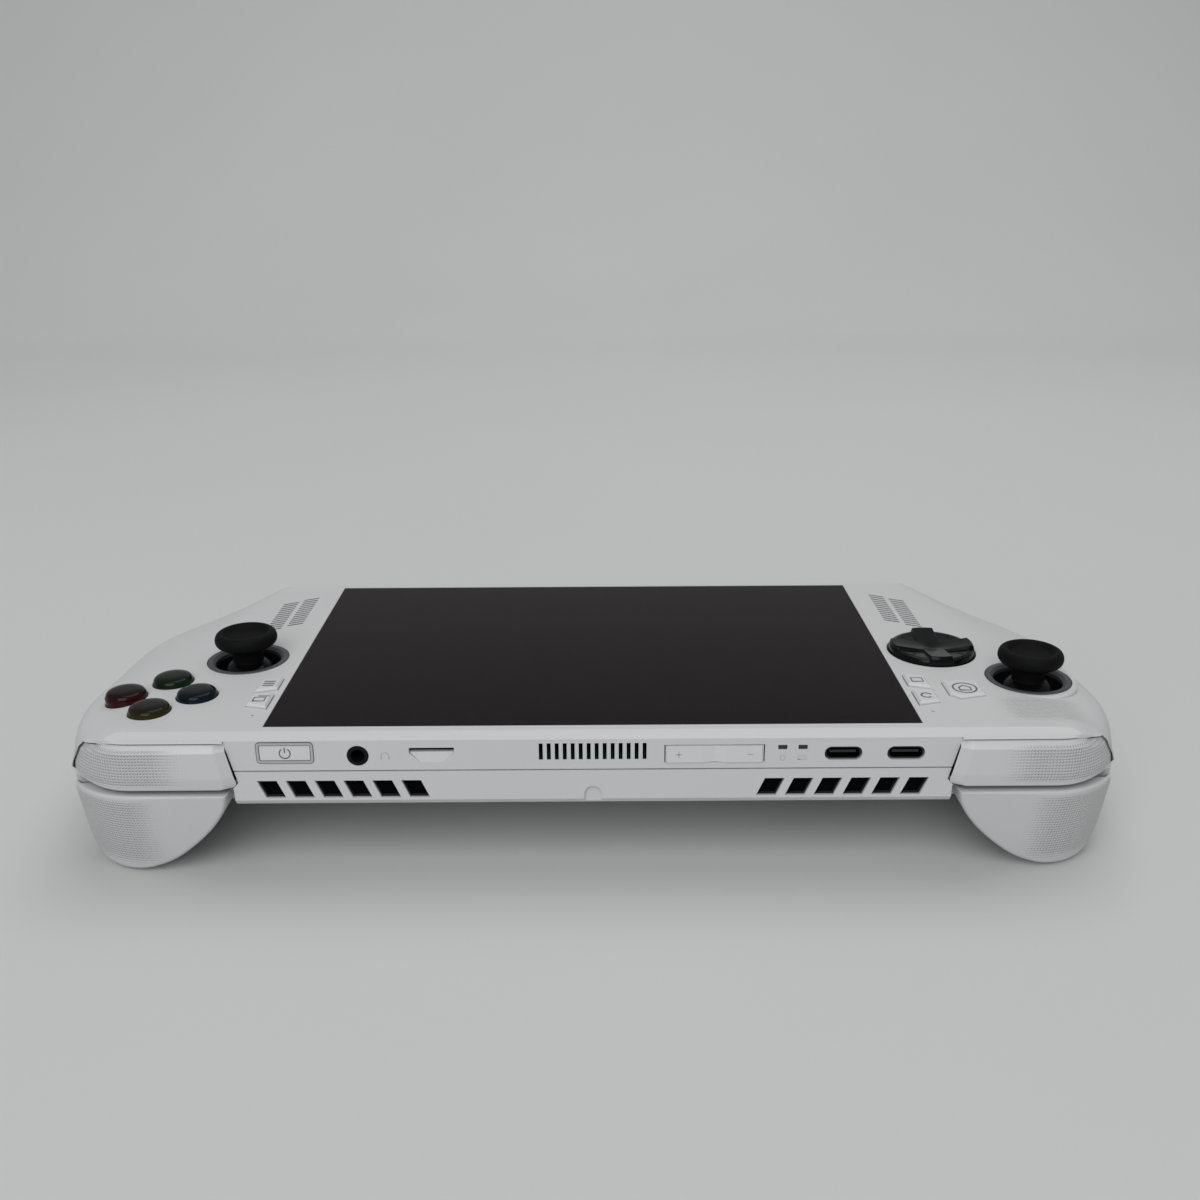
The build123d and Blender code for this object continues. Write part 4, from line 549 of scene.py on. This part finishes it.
def tinted(name, tint, core):
    """A finish of dark gloss whose colour goes from a core at the top to a tint at the side.

    The share of tint grows evenly as the height on the object falls from 44 to 42.2 mm.
    """
    material = finish(name, core, 0.07, grain_depth=0.0000005, specular=0.15)
    tree = material.node_tree
    level = named_node(tree, "MapRange", From_Min=0.0440, From_Max=0.0422)
    link(tree, object_axes(tree)["Z"], level.inputs["Value"])
    recolour(material, level.outputs["Result"], tint)
    return material


# For each button: its shift from their middle, in millimetres, its tint and its core.
face_kinds = {"far": ((0, 9.5), (0.006, 0.020, 0.005), (0.004, 0.007, 0.004)),
              "near": ((0, -9.5), (0.027, 0.025, 0.004), (0.008, 0.0075, 0.003)),
              "outer": ((-9.5, 0), (0.032, 0.003, 0.004), (0.009, 0.003, 0.0035)),
              "inner": ((9.5, 0), (0.002, 0.010, 0.015), (0.003, 0.005, 0.007))}
print("tints for", ", ".join(face_kinds))

# %% The domes
face_centre = np.array([-115.5, -33.5])
dome = through([(0, 44.20), (1.8, 44.17), (3.1, 44.07), (4.1, 43.86), (4.65, 43.6), (5.0, 43.2), (5.2, 42.7),
                (5.28, 42.3)], 6)
button_line = np.vstack([dome, [(5.4, 42.3), (5.4, 37.3), (6.0, 37.3), (6.0, 36.5), (0, 36.5)]])
for name, (shift, tint, core) in face_kinds.items():
    centre = face_centre + shift
    piece = turned_piece("dome_" + name, button_line, centre, tinted("tint_" + name, tint, core), 72, 50)
    dress(piece, "face_button_" + name, "gloss_black", "face_button_" + name)
print("four face buttons")

# %% [markdown]
# ## Fields of dots
# The outer parts of the bumpers and triggers, and a patch in front of the left stick, carry a fine
# field of raised dots that a finger feels. As geometry they would be tens of thousands of faces, so
# they are a bump in the finish: a node group gives the height of one grid of dots, and each finish
# fades it in where the real piece has it.

# %% Nodes that calculate
def maths(tree, kind, first, second=None):
    """One Math node; each input is a number or a socket."""
    node = tree.nodes.new("ShaderNodeMath")
    node.operation = kind
    for i, value in enumerate((first, second)):
        if isinstance(value, (int, float)):
            node.inputs[i].default_value = value
        elif value is not None:
            link(tree, value, node.inputs[i])
    return node.outputs[0]


def ramp(tree, value, low, high):
    """Smooth step from 0 at low to 1 at high."""
    node = named_node(tree, "MapRange", From_Min=low, From_Max=high)
    node.interpolation_type = "SMOOTHSTEP"
    link(tree, value, node.inputs["Value"])
    return node.outputs["Result"]


def box_mask(tree, limits):
    """Product of smooth steps on Object coordinates, one for each limit (axis, low, high).

    An axis is taken without its sign, which serves both halves of the console at once. Where + or -
    is written before it, it is taken with its sign or turned round. A step falls where low is over
    high.
    """
    axes = object_axes(tree)
    mask = None
    for axis, low, high in limits:
        value = axes[axis[-1]]
        if axis[0] in "+-":
            value = maths(tree, "MULTIPLY", value, -1.0 if axis[0] == "-" else 1.0)
        else:
            value = maths(tree, "ABSOLUTE", value)
        step = ramp(tree, value, low, high)
        mask = step if mask is None else maths(tree, "MULTIPLY", mask, step)
    return mask


print("nodes that calculate: maths, ramp and box_mask")


# %% One grid of dots
def make_dot_group():
    """Node group: the height of a square grid of dots, from 0 between them to 1 on top.

    A dot's height is a smooth step of the distance to its cell's centre.
    """
    tree = bpy.data.node_groups.new("dot_field", "ShaderNodeTree")
    for name in ("U", "V", "Pitch"):
        tree.interface.new_socket(name, in_out="INPUT", socket_type="NodeSocketFloat")
    tree.interface.new_socket("Height", in_out="OUTPUT", socket_type="NodeSocketFloat")
    source = tree.nodes.new("NodeGroupInput")
    sink = tree.nodes.new("NodeGroupOutput")
    squares = []
    for name in ("U", "V"):
        cell = maths(tree, "FRACT", maths(tree, "DIVIDE", source.outputs[name], source.outputs["Pitch"]))
        off_centre = maths(tree, "ABSOLUTE", maths(tree, "SUBTRACT", cell, 0.5))
        squares.append(maths(tree, "POWER", off_centre, 2.0))
    away = maths(tree, "SQRT", maths(tree, "ADD", *squares))
    link(tree, ramp(tree, away, 0.50, 0.06), sink.inputs["Height"])
    return tree


dot_group = make_dot_group()
print("shared effect:", dot_group.name)


# %% Dots on a finish
def dot_places(tree, upright):
    """The two coordinates that a field of dots is laid on: along the face, and up it or across it.

    On an upright face it is |X| - |Y| / 2, which keeps the rows close round a corner, with |Z|. On a
    lying one it is |X| with |Y|.
    """
    axes = object_axes(tree)
    size = {axis: maths(tree, "ABSOLUTE", axes[axis]) for axis in "XYZ"}
    if upright:
        return maths(tree, "SUBTRACT", size["X"], maths(tree, "MULTIPLY", size["Y"], 0.5)), size["Z"]
    return size["X"], size["Y"]


def add_dots(material, limits, upright=True, pitch=0.00082, depth=0.00030, tone=0.07):
    """Raise dots on a finish inside limits, as for box_mask; lengths are in metres.

    The colour between the dots is darker by the share tone, a painted shade in the gaps.
    """
    tree = material.node_tree
    shader = tree.nodes["Principled BSDF"]
    dots = named_node(tree, "Group")
    dots.node_tree = dot_group
    dots.inputs["Pitch"].default_value = pitch
    for name, value in zip("UV", dot_places(tree, upright)):
        link(tree, value, dots.inputs[name])
    mask = box_mask(tree, limits)
    bump = named_node(tree, "Bump", Strength=1.0, Distance=depth)
    link(tree, maths(tree, "MULTIPLY", dots.outputs["Height"], mask), bump.inputs["Height"])
    link(tree, shader.inputs["Normal"].links[0].from_socket, bump.inputs["Normal"])
    link(tree, bump.outputs["Normal"], shader.inputs["Normal"])
    # Painted shade: the colour between the dots is darkened where the dots stand up round it.
    painted_gap_shade = maths(tree, "MULTIPLY", maths(tree, "SUBTRACT", 1.0, dots.outputs["Height"]), mask)
    recolour(material, painted_gap_shade, [1 - tone] * 3, "MULTIPLY")


shoulder_grain = {"grain_scale": 2200.0, "grain_depth": 0.000008, "colour_drift": 0.01}
bumper_white = finish("bumper_white", WHITE, 0.40, **shoulder_grain)
trigger_white = finish("trigger_white", WHITE, 0.42, **shoulder_grain)
print("two more whites, for the shoulder keys")

# %% [markdown]
# ## Dark slots
# Behind the speaker's slots and the vents lies black cloth or a black cooler. Their narrow walls are
# part of the white shell, and in such narrow slots hardly any light comes back out. The shell's
# finish is therefore darkened inside some boxes, which hold only those walls.

# %% Shading the slots
speaker_slots = [("X", 0.0880, 0.0885), ("X", 0.1022, 0.1017), ("+Y", 0.0100, 0.0105),
                 ("+Y", 0.0460, 0.0455), ("+Z", 0.0395, 0.0396), ("+Z", 0.04192, 0.04178)]
middle_vents = [("X", 0.0142, 0.0141), ("+Y", -0.05854, -0.05840), ("+Y", -0.0560, -0.0561),
                ("+Z", 0.0348, 0.0349), ("+Z", 0.0402, 0.0401)]
slanted_vents = [("X", 0.0340, 0.0345), ("X", 0.0870, 0.0868), ("+Y", -0.05795, -0.05780),
                 ("+Y", -0.0560, -0.0561), ("+Z", 0.0245, 0.0246), ("+Z", 0.0300, 0.0299)]
slot_shades = ((speaker_slots, (0.05, 0.05, 0.052)), (middle_vents, (0.02, 0.02, 0.021)),
               (slanted_vents, (0.03, 0.03, 0.031)))
for limits, colour in slot_shades:
    recolour(shell_white, box_mask(shell_white.node_tree, limits), colour)
print(len(slot_shades), "sets of slots shaded")

# %% Where the dots are
bumper_patch = [("X", 0.100, 0.112), ("Z", 0.0287, 0.0300), ("Z", 0.0402, 0.0385)]
trigger_patch = [("X", 0.109, 0.119), ("Z", 0.0020, 0.0060), ("Z", 0.0255, 0.0235)]
stick_patch = [("+X", 0.104, 0.111), ("+X", 0.130, 0.123), ("-Y", 0.0365, 0.0395),
               ("-Y", 0.0535, 0.0490), ("Z", 0.0385, 0.0400)]
add_dots(bumper_white, bumper_patch)
add_dots(trigger_white, trigger_patch)
add_dots(shell_white, stick_patch, upright=False, depth=0.00022, tone=0.05)
print("three dotted finishes")

# %% [markdown]
# ## Bumpers
# A bumper is a sleeve: at each place across, a closed loop runs up the front, over the top edge,
# back, down and forward again. Seen from above, the front is straight and then follows an arc round
# the outer corner. Narrow slanted strips run along its edges, as on the real one. They are made by
# setting the front back near the edge.

# %% A bumper's front
def smooth(value, low, high):
    """Smooth step from 0 to 1 as value goes from low to high."""
    t = np.clip((value - low) / (high - low), 0, 1)
    return t * t * (3 - 2 * t)


face_y, corner_x = -60.75, 116.0
straight_share, bend_share = 0.55, 0.45
low_edge, low_rise, high_edge, high_fall = 27.65, 1.5, 40.2, 2.3
inner_heights, inner_line_x = [27.7, 28.4, 29.4, 41.0], [91.3, 90.05, 89.7, 92.1]
end_heights = [27.7, 28.8, 30.0, 32.0, 35.0, 38.0, 41.0]
end_line_x = [133.2, 133.9, 134.0, 133.2, 131.5, 129.8, 128.0]
end_line_y = [-51.0, -50.5, -50.4, -50.9, -51.9, -52.9, -54.0]


def bumper_front(s, t):
    """Point on a bumper's front at the share s of its length and t of its height, and the way in.

    Up to straight_share it runs straight along the face, from a slanted inner end to corner_x. From
    there it follows an arc that leaves the face without a corner and ends on a line which leans
    inwards with height. The lower edge rises and the upper one falls near the outer end.
    """
    low = low_edge + low_rise * smooth(s, 0.62, 1.05)
    high = high_edge - high_fall * smooth(s, 0.62, 1.06) ** 1.2
    z = low + t * (high - low)
    inner = np.interp(z, inner_heights, inner_line_x)
    end_x = np.interp(z, end_heights, end_line_x)
    end_y = np.interp(z, end_heights, end_line_y)
    rise = end_y - face_y
    radius = ((end_x - corner_x) ** 2 + rise**2) / (2 * rise)
    sweep = np.arcsin(np.clip((end_x - corner_x) / radius, -1, 1))
    angle = sweep * np.clip((s - straight_share) / bend_share, 0, 1)
    along_face = inner + (corner_x - inner) * s / straight_share
    x = np.where(s < straight_share, along_face, corner_x + radius * np.sin(angle))
    y = face_y + radius * (1 - np.cos(angle))
    inwards = np.stack([-np.sin(angle), np.cos(angle), 0 * angle], axis=-1)
    return np.stack([x, y, z], axis=-1), inwards, low, high, inner


print("outer end of a bumper at", bumper_front(np.array(1.0), np.array(0.5))[0].round(1), "mm")


# %% A bumper's facets and hidden sides
top_facet, top_facet_height = 1.45, 1.75
low_facet, low_facet_height = 0.75, 3.6
inner_facet, inner_facet_width = 1.35, 2.7
rim_round, foot_rim, end_rim = 0.45, 0.5, 0.8
bend_length = 38.0
# Steps behind the upper edge and the foot: how far in, and how far up.
behind_edge = ((0.05, 0.03), (0.1, -0.1), (0.2, -1.4), (4.6, -1.45))
behind_foot = ((6.2, 0.25), (0.4, 0.0))


def facet_share(s):
    """The facets' depth over their depth at the middle: it falls a little towards the outer end."""
    return 1 - 0.45 * smooth(s, 0.80, 1.0)


def paint_seam_shade(piece, grid, picked, ends=False):
    """Give the hidden sides of a grid piece the black of the inside as painted shade, so that its seams stay
    dark.

    The sides are columns of faces, picked by number, and the two end caps where ends is true.
    """
    rows, columns = grid.shape[:2]
    piece.data.materials.append(inner_black)
    j = np.tile(np.arange(columns), rows - 1)
    i = np.repeat(np.arange(rows - 1), columns)
    dark = np.isin(j, list(picked)) | (ends & ((i == 0) | (i == rows - 2)))
    piece.data.polygons.foreach_set("material_index", dark.astype(np.int32))


print("facets at the outer end have", facet_share(1.0).round(2), "of their depth")


# %% The bumpers
def bumper_points():
    """A grid whose rows go across and whose columns go once round the cross-section.

    Each facet's depth falls off in proportion to the distance from its edge, and the roundings at
    the lower edge and the outer end with the square of it.
    """
    s = np.concatenate([np.linspace(0, 0.08, 12), np.linspace(0.095, 0.55, 18), np.linspace(0.575, 0.97, 26),
                        np.linspace(0.977, 1.0, 5)])
    t = np.concatenate([np.linspace(0, 0.06, 6), np.linspace(0.09, 0.262, 6), np.linspace(0.295, 0.83, 12),
                        np.linspace(0.8605, 1.0, 8)])
    S, T = np.meshgrid(s, t, indexing="ij")
    front, inwards, low, high, inner = bumper_front(S, T)
    above, below = high - front[..., 2], front[..., 2] - low
    depth = top_facet * np.clip((top_facet_height - above) / top_facet_height, 0, 1)
    depth = depth + low_facet * np.clip((low_facet_height - below) / low_facet_height, 0, 1)
    depth = depth + rim_round * np.clip((foot_rim - below) / foot_rim, 0, 1) ** 2
    from_inner = (S / straight_share) * (corner_x - inner)
    depth = depth + inner_facet * np.clip((inner_facet_width - from_inner) / inner_facet_width, 0, 1)
    depth = depth * facet_share(S)
    from_outer = (1 - S) * bend_length
    depth = depth + rim_round * np.clip((end_rim - from_outer) / end_rim, 0, 1) ** 2
    front = front + inwards * depth[..., None]
    way = inwards[:, -1]
    back = [front[:, -1] + way * reach + [0, 0, lift] for reach, lift in behind_edge]
    back += [front[:, 0] + way * reach + [0, 0, lift] for reach, lift in behind_foot]
    grid = np.concatenate([front, np.stack(back, axis=1)], axis=1)
    grid[:, -2, 2] = np.minimum(grid[:, -2, 2], grid[:, -3, 2] - 0.3)
    return with_ends(grid)


sleeve = bumper_points()
hidden_columns = range(32, 37)
for side, sign in SIDES:
    piece = grid_piece(side + "_bumper_skin", sleeve, sign, bumper_white)
    # Painted shade: the bumper's hidden sides are black, so its seams read dark.
    paint_seam_shade(piece, sleeve, hidden_columns, ends=True)
    dress(tidy(piece, 32), side + "_bumper", "white_button", side + "_bumper")
print("bumpers of", sleeve.shape[0] * sleeve.shape[1], "points each")

# %% [markdown]
# ## Shoulder lips
# The front shell reaches over each bumper and down past its outer end in a thin lip. The lip starts
# on the CAD shell, where rays find the surface, and swells out to a rounded nose just clear of the
# bumper's edge.

# %% Rays onto the shells
def shell_rays(*nodes):
    """A search tree over the faces of some CAD nodes, for rays in metres."""
    corners, faces = [], []
    for node in nodes:
        obj = bpy.data.objects[node]
        start = len(corners)
        corners += [obj.matrix_world @ v.co for v in obj.data.vertices]
        faces += [[start + k for k in poly.vertices] for poly in obj.data.polygons]
    return BVHTree.FromPolygons(corners, faces)


shells = shell_rays("front_shell", "rear_shell")
ray_start, farthest_hit, least_facing = 6, 3.0, 0.35


def shell_under(points, directions):
    """Where rays against the directions meet the shells near some points, and the normals there.

    A ray that meets nothing near its point gives the point back, and a face that is too steep to
    the ray gives the direction in place of its normal.
    """
    spots, normals = [], []
    for point, direction in zip(points, directions):
        spot, normal, _, _ = shells.ray_cast(Vector((point + direction * ray_start) * MM), Vector(-direction))
        lost = spot is None or abs((np.array(spot) / MM - point) @ direction) > farthest_hit
        spots.append(point if lost else np.array(spot) / MM)
        steep = lost or np.array(normal) @ direction < least_facing
        normals.append(direction if steep else np.array(normal))
    return np.array(spots), np.array(normals)


middle_spot = shell_under(np.array([[110.0, -56.0, 42.0]]), np.array([[0, 0, 1.0]]))[0][0]
print("the shell over a bumper is", middle_spot[2].round(2), "mm up")


# %% Rows of vectors
def unit(v):
    """Each vector divided by its length."""
    return v / np.linalg.norm(v, axis=-1, keepdims=True)


def even_out(rows, width):
    """Running mean of an array of vectors over an odd number of rows; the ends repeat."""
    half = width // 2
    longer = np.concatenate([rows[:1]] * half + [rows] + [rows[-1:]] * half)
    return np.stack([np.convolve(longer[:, k], np.ones(width) / width, "valid") for k in range(3)], axis=1)


print("a unit vector:", unit(np.array([3.0, 0.0, 4.0])))


# %% The lips
nose_lift, nose_gap, nose_sink = 0.62, 0.02, 1.75
# Points behind the nose: how far forward, and how far down.
nose_turn = ((0.10, 0.05), (0.14, 0.13), (0.12, 0.24), (0.02, 0.32), (-1.3, 0.34))


def lip_points():
    """Rows along the bumper's upper edge and then down its outer end, columns round the lip.

    At each place two unit vectors turn smoothly from (away from the case, up) over the upper edge
    to (towards the bumper, outwards) at the end. A ray against the second finds the shell's surface
    and its normal some way in. Running means and medians take out the steps that the shell's own
    notch gives. A parabola leaves the surface along its tangent and ends on the nose; a quarter
    turn and a way back under the surface close the column.
    """
    s = np.linspace(0, 1, 72)
    t = np.linspace(1, -0.16, 36)[1:]
    S = np.concatenate([s, np.ones(len(t))])
    T = np.concatenate([np.ones(len(s)), t])
    edge, way, *_ = bumper_front(S, T)
    edge = edge + way * (top_facet * facet_share(S) * smooth(T, 0.84, 1.0))[:, None]
    along = np.stack([way[:, 1], -way[:, 0], 0 * S], axis=-1)
    share = np.concatenate([0.5 * smooth(s, 0.86, 1.0), 0.5 + 0.5 * smooth(t, 1.0, 0.72)])[:, None]
    up = np.array([0, 0, 1.0])
    out = unit(-way * (1 - share) - along * share)
    rise = unit(up * (1 - share) - way * share)
    reach = np.concatenate([2.2 + 2.6 * smooth(s, 0.72, 0.86), 4.8 - 1.8 * smooth(t, 0.95, 0.7)])
    sink = smooth(T, 0.16, -0.14)[:, None]
    nose = edge + rise * nose_lift + out * nose_gap
    starts, normals = shell_under(nose - out * reach[:, None], rise)
    starts, normals = shell_under(even_out(starts, 7), rise)
    nose = nose - rise * nose_sink * sink
    normals = unit(even_out(normals, 9))
    bend = np.sum((starts - nose) * rise, axis=1)
    for _ in range(4):
        bend[2:-2] = np.median([bend[:-4], bend[1:-3], bend[2:-2], bend[3:-1], bend[4:]], axis=0)
    print("the shell stands above the nose by", bend.min().round(2), "to", bend.max().round(2), "mm")
    starts = starts + rise * (bend - np.sum((starts - nose) * rise, axis=1) - 0.03)[:, None]
    run = nose - starts
    flat = run - normals * np.sum(run * normals, axis=1)[:, None]
    flat = even_out(unit(flat) * np.linalg.norm(run, axis=1)[:, None], 5)
    middle = even_out(starts + flat * 0.45, 5)
    q = np.linspace(0, 1, 12)[:, None, None]
    curve = (1 - q) ** 2 * starts + 2 * q * (1 - q) * middle + q**2 * nose
    turn = [nose + out * forward - rise * drop for forward, drop in nose_turn]
    turn.append(starts - rise * 0.7 + out * 0.4)
    return with_ends(np.concatenate([curve, np.array(turn)], axis=0).transpose(1, 0, 2))


lip = lip_points()
hidden_columns = range(15, 18)
for side, sign in SIDES:
    piece = grid_piece(side + "_shoulder_lip", lip, sign, shell_white)
    # Painted shade: the lip's underside is black, so the gap over the bumper reads dark.
    paint_seam_shade(piece, lip, hidden_columns)
    dress(tidy(piece, 50), "root", "shell")
print("lips of", lip.shape[0] * lip.shape[1], "points each")

# %% [markdown]
# ## Triggers
# Seen from the front, a trigger is a half disc that hangs under the bumper. Its face leans in
# towards the foot and goes round the corner like the bumper's. Rings shrink from the outline to a
# point in the middle, in front and behind, which gives one closed skin with a round edge.

# %% The outline and the face
half_outline = [(92.3, 26.2), (93.7, 21.4), (97.6, 15.4), (103.4, 9.3), (109.6, 4.4), (115.6, 1.75),
                (121.0, 0.82), (126.2, 0.95), (130.8, 2.4), (134.2, 5.6), (136.2, 10.6), (136.9, 16.5),
                (136.6, 21.5), (134.6, 24.9), (133.6, 26.2)]
trigger_y, trigger_top, trigger_height, trigger_lean = -60.2, 26.3, 27.3, 7.0
trigger_centre = np.array([118.0, 16.0])
corner_r, edge_round = 22.5, 1.1


def trigger_face(x, z):
    """Depth of a trigger's front: a plane that leans in towards its foot, and an arc past corner_x."""
    lean = trigger_lean * (trigger_top - z) / trigger_height
    past = np.clip(x - corner_x, 0, corner_r - 0.1)
    return trigger_y + lean + corner_r - np.sqrt(corner_r**2 - past**2)


def trigger_back(z):
    """Depth of a trigger's back: level at its foot, and drawn forward to a thin edge at its top."""
    return np.interp(z, [0, 20.5, 24.3, trigger_top], [-46.0, -46.4, -52.6, -52.6])


print("a trigger's face at its middle:", trigger_face(*trigger_centre).round(2), "mm")


# %% The triggers
def trigger_points():
    """Rings from a centre out to the outline, then round its edge and back to a centre behind.

    A ring at the share w holds the points centre + w (outline - centre). Near the outline the front
    falls back by a quarter circle's law, which rounds the edge.
    """
    outline = through(half_outline, 9)
    top = np.linspace(outline[-1], outline[0], 26)[1:-1]
    loop = np.vstack([outline, top])
    w = np.concatenate([np.linspace(0, 0.9, 16), np.linspace(0.915, 1, 9)])
    rings = trigger_centre + w[:, None, None] * (loop - trigger_centre)
    span = np.linalg.norm(loop - trigger_centre, axis=1)
    from_edge = (1 - w)[:, None] * span
    inset = np.clip((edge_round - from_edge) / edge_round, 0, 1)
    fall = 1 - np.sqrt(np.clip(1 - inset**2, 0, 1))
    y = trigger_face(rings[..., 0], rings[..., 1]) + fall
    front = np.stack([rings[..., 0], y, rings[..., 1]], axis=-1)
    side = front[-1].copy()
    side[:, 1] = np.maximum(trigger_back(side[:, 2]), side[:, 1] + 0.05)
    behind = []
    for share in (0.66, 0.33, 0.0):
        ring = side.copy()
        ring[:, [0, 2]] = trigger_centre + share * (side[:, [0, 2]] - trigger_centre)
        ring[:, 1] = trigger_back(ring[:, 2])
        behind.append(ring)
    return np.concatenate([front, side[None], np.stack(behind)], axis=0)


trigger = trigger_points()
for side, sign in SIDES:
    piece = grid_piece(side + "_trigger_skin", trigger, sign, trigger_white)
    dress(tidy(piece, 40), side + "_trigger", "white_button", side + "_trigger")
print("triggers of", trigger.shape[0] * trigger.shape[1], "points each")

# %% [markdown]
# ## Small marks
# The power button carries the usual ring and bar, the keys beside the display have plain signs, and
# faint ones stand by the jack, the lights and on the volume rocker. They are printed, so each line is
# a very flat bar that stands a few hundredths of a millimetre proud. A line is given by its points,
# and a rectangle is carried along it.

# %% Lines for marks
def arc(centre, radius, start, end, steps=28):
    """Points of a circle's arc between two angles in degrees."""
    a = np.radians(np.linspace(start, end, steps))
    return np.stack([centre[0] + radius * np.cos(a), centre[1] + radius * np.sin(a)], axis=-1)


def round_box(half_width, half_height, bend):
    """A closed rounded rectangle, once round from the middle of its right side."""
    quarter = np.linspace(0, np.pi / 2, 7)
    corner = np.stack([half_width - bend + bend * np.cos(quarter),
                       half_height - bend + bend * np.sin(quarter)], axis=1)
    flips = ((1, 1), (-1, 1), (-1, -1), (1, -1))
    line = [corner[:: a * b] * [a, b] for a, b in flips]
    return np.concatenate([[[half_width, 0]], *line, [[half_width, 0]]])


def line_bar(path, width, height):
    """Carry a rectangle along a flat path: rows along it, with both ends drawn to a point."""
    path = np.array(path, float)
    way = unit(np.gradient(path, axis=0))
    side = np.stack([-way[:, 1], way[:, 0]], axis=-1) * width / 2
    levels = ((1, 0.0), (1, height), (-1, height), (-1, 0.0))
    rows = [np.concatenate([path + side * k, np.full((len(path), 1), h)], axis=1) for k, h in levels]
    return with_ends(np.stack(rows, axis=1))


sample = line_bar(arc((0, 0), 1, 0, 90), 0.3, 0.05)
print("a quarter arc makes a bar of", sample.shape[0], "rows of", sample.shape[1], "points")


# %% Laying a mark
mark_grey = finish("mark_grey", (0.13, 0.13, 0.14), 0.5, grain_scale=3000.0, grain_depth=0.000002)
mark_pale = finish("mark_pale", (0.42, 0.42, 0.44), 0.5, grain_scale=3000.0, grain_depth=0.000002)


def mark(name, lines, centre, body, slot, material, width, height=0.05, standing=False):
    """Lay flat lines on a face: (u, v) goes to (x, z) on a standing face and to (x, y) on a lying one."""
    points, faces, start = [], [], 0
    for path in lines:
        bar = line_bar(path, width, height)
        u, v, w = bar.reshape(-1, 3).T
        here = np.stack([u, -w, v] if standing else [u, v, w], axis=-1) + centre
        points.append(here)
        faces.append(grid_faces(*bar.shape[:2], close_columns=True) + start)
        start += len(here)
    piece = mesh_piece(name, np.concatenate(points) * MM, np.concatenate(faces).tolist(), material)
    return dress(tidy(piece, 40), body, slot)


def top_of(node):
    """The point over the middle of a node's box, level with its top, in millimetres."""
    low, high = (np.array(corner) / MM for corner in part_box(node))
    return np.array([(low[0] + high[0]) / 2, (low[1] + high[1]) / 2, high[2]])


print("the home button's top is at", top_of("home_button").round(1), "mm")

# %% Marks on the power button
low, high = (np.array(corner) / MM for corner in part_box("power_button"))
power_face = np.array([(low[0] + high[0]) / 2, low[1], (low[2] + high[2]) / 2])
power_sign = [arc((0, -0.15), 1.35, 122, 418), [(0, 1.55), (0, 0.8), (0, 0.0)]]
mark("power_mark", power_sign, power_face, "power_button", "dark_ring", mark_grey, 0.3, standing=True)
# Painted shade: two thin dark lines at the power ring's outer and inner edges stand for the shade in its
# gaps.
ring_gap_lines = [round_box(7.12, 2.87, 0.95), round_box(6.42, 2.12, 0.5)]
ring_face = power_face + [0, -0.1, 0]
mark("power_outline", ring_gap_lines, ring_face, "root", "dark_ring", mark_grey, 0.14, 0.02, standing=True)
print("the power button's face is at", power_face.round(1), "mm")

# %% Marks on the keys
bars = [[(-1.5, v), (0, v), (1.5, v)] for v in (-1.3, 0.0, 1.3)]
box = [(-1.5, -1.2), (1.5, -1.2), (1.5, 1.2), (-1.5, 1.2), (-1.5, -1.2), (0, -1.2)]
second_edge = [(-0.7, 2.0), (0.7, 2.0), (2.3, 2.0)]
house = [(-1.5, -1.5), (1.5, -1.5), (1.5, 0.3), (0, 1.7), (-1.5, 0.3), (-1.5, -1.5), (0, -1.5)]
key_signs = {"menu": (bars, 0.6), "library": ([box, second_edge], 0.45), "view": ([box], 0.45),
             "command": ([arc((0, 0), 1.35, 20, 320)], 0.5),
             "home": ([arc((0, 0), 3.1, 0, 361, 48), house], 0.5)}
for key, (lines, width) in key_signs.items():
    node = key + "_button"
    mark(key + "_mark", lines, top_of(node), node, "dark_ring", mark_grey, width)
print("signs on", ", ".join(key_signs))

# %% Pale marks on the port face
port_face = np.array([0, -58.62, 0])
head_set = [arc((-51.9, 36.5), 1.0, -20, 200), [(-52.9, 36.3), (-52.9, 35.9), (-52.9, 35.5)],
            [(-50.9, 36.3), (-50.9, 35.9), (-50.9, 35.5)]]
mark("jack_mark", head_set, port_face, "root", "shell", mark_pale, 0.22, 0.03, standing=True)
light_signs = [arc((47.5, 35.4), 0.65, 0, 361),
               [(51.3, 35.0), (53.5, 35.0), (53.5, 35.9), (51.3, 35.9), (51.3, 35.0), (52.0, 35.0)]]
mark("light_marks", light_signs, port_face, "root", "shell", mark_pale, 0.18, 0.03, standing=True)
low, high = (np.array(corner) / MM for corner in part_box("volume_rocker"))
rocker_face = np.array([0, low[1], 0])
plus = [[(20.7, 36.7), (21.5, 36.7), (22.3, 36.7)], [(21.5, 35.9), (21.5, 36.7), (21.5, 37.5)]]
minus = [[(38.6, 36.7), (39.4, 36.7), (40.2, 36.7)]]
for name, lines in (("louder_mark", plus), ("softer_mark", minus)):
    mark(name, lines, rocker_face, "volume_rocker", "shell", mark_pale, 0.25, standing=True)

# %% [markdown]
# ## Dust screens
# Behind the slanted vents the case is black: a fine woven screen keeps dust off the fins. It is one
# thin sheet on each side, between the wall and the fins, and its weave is a field of dots.

# %% The screens
screen_black = finish("screen_black", (0.002, 0.002, 0.002), 0.8, grain_scale=3000.0,
                      grain_depth=0.00001, specular=0.06)
add_dots(screen_black, [("Z", 0.020, 0.0205)], pitch=0.0005, depth=0.0001, tone=0.3)
screen_x, screen_y, screen_z = (39.0, 84.0), (-56.5, -56.2), (23.8, 30.7)
corners = np.array([(x, y, z) for y in screen_y for z in screen_z for x in screen_x])
box_faces = [(0, 1, 3, 2), (4, 6, 7, 5), (0, 4, 5, 1), (2, 3, 7, 6), (0, 2, 6, 4), (1, 5, 7, 3)]
for side, sign in SIDES:
    piece = mesh_piece(side + "_dust_screen", corners * [sign, 1, 1] * MM, box_faces, screen_black)
    dress(tidy(piece, 30), "root", "inner_plastic")
print("dust screens of 45 by 6.9 mm")
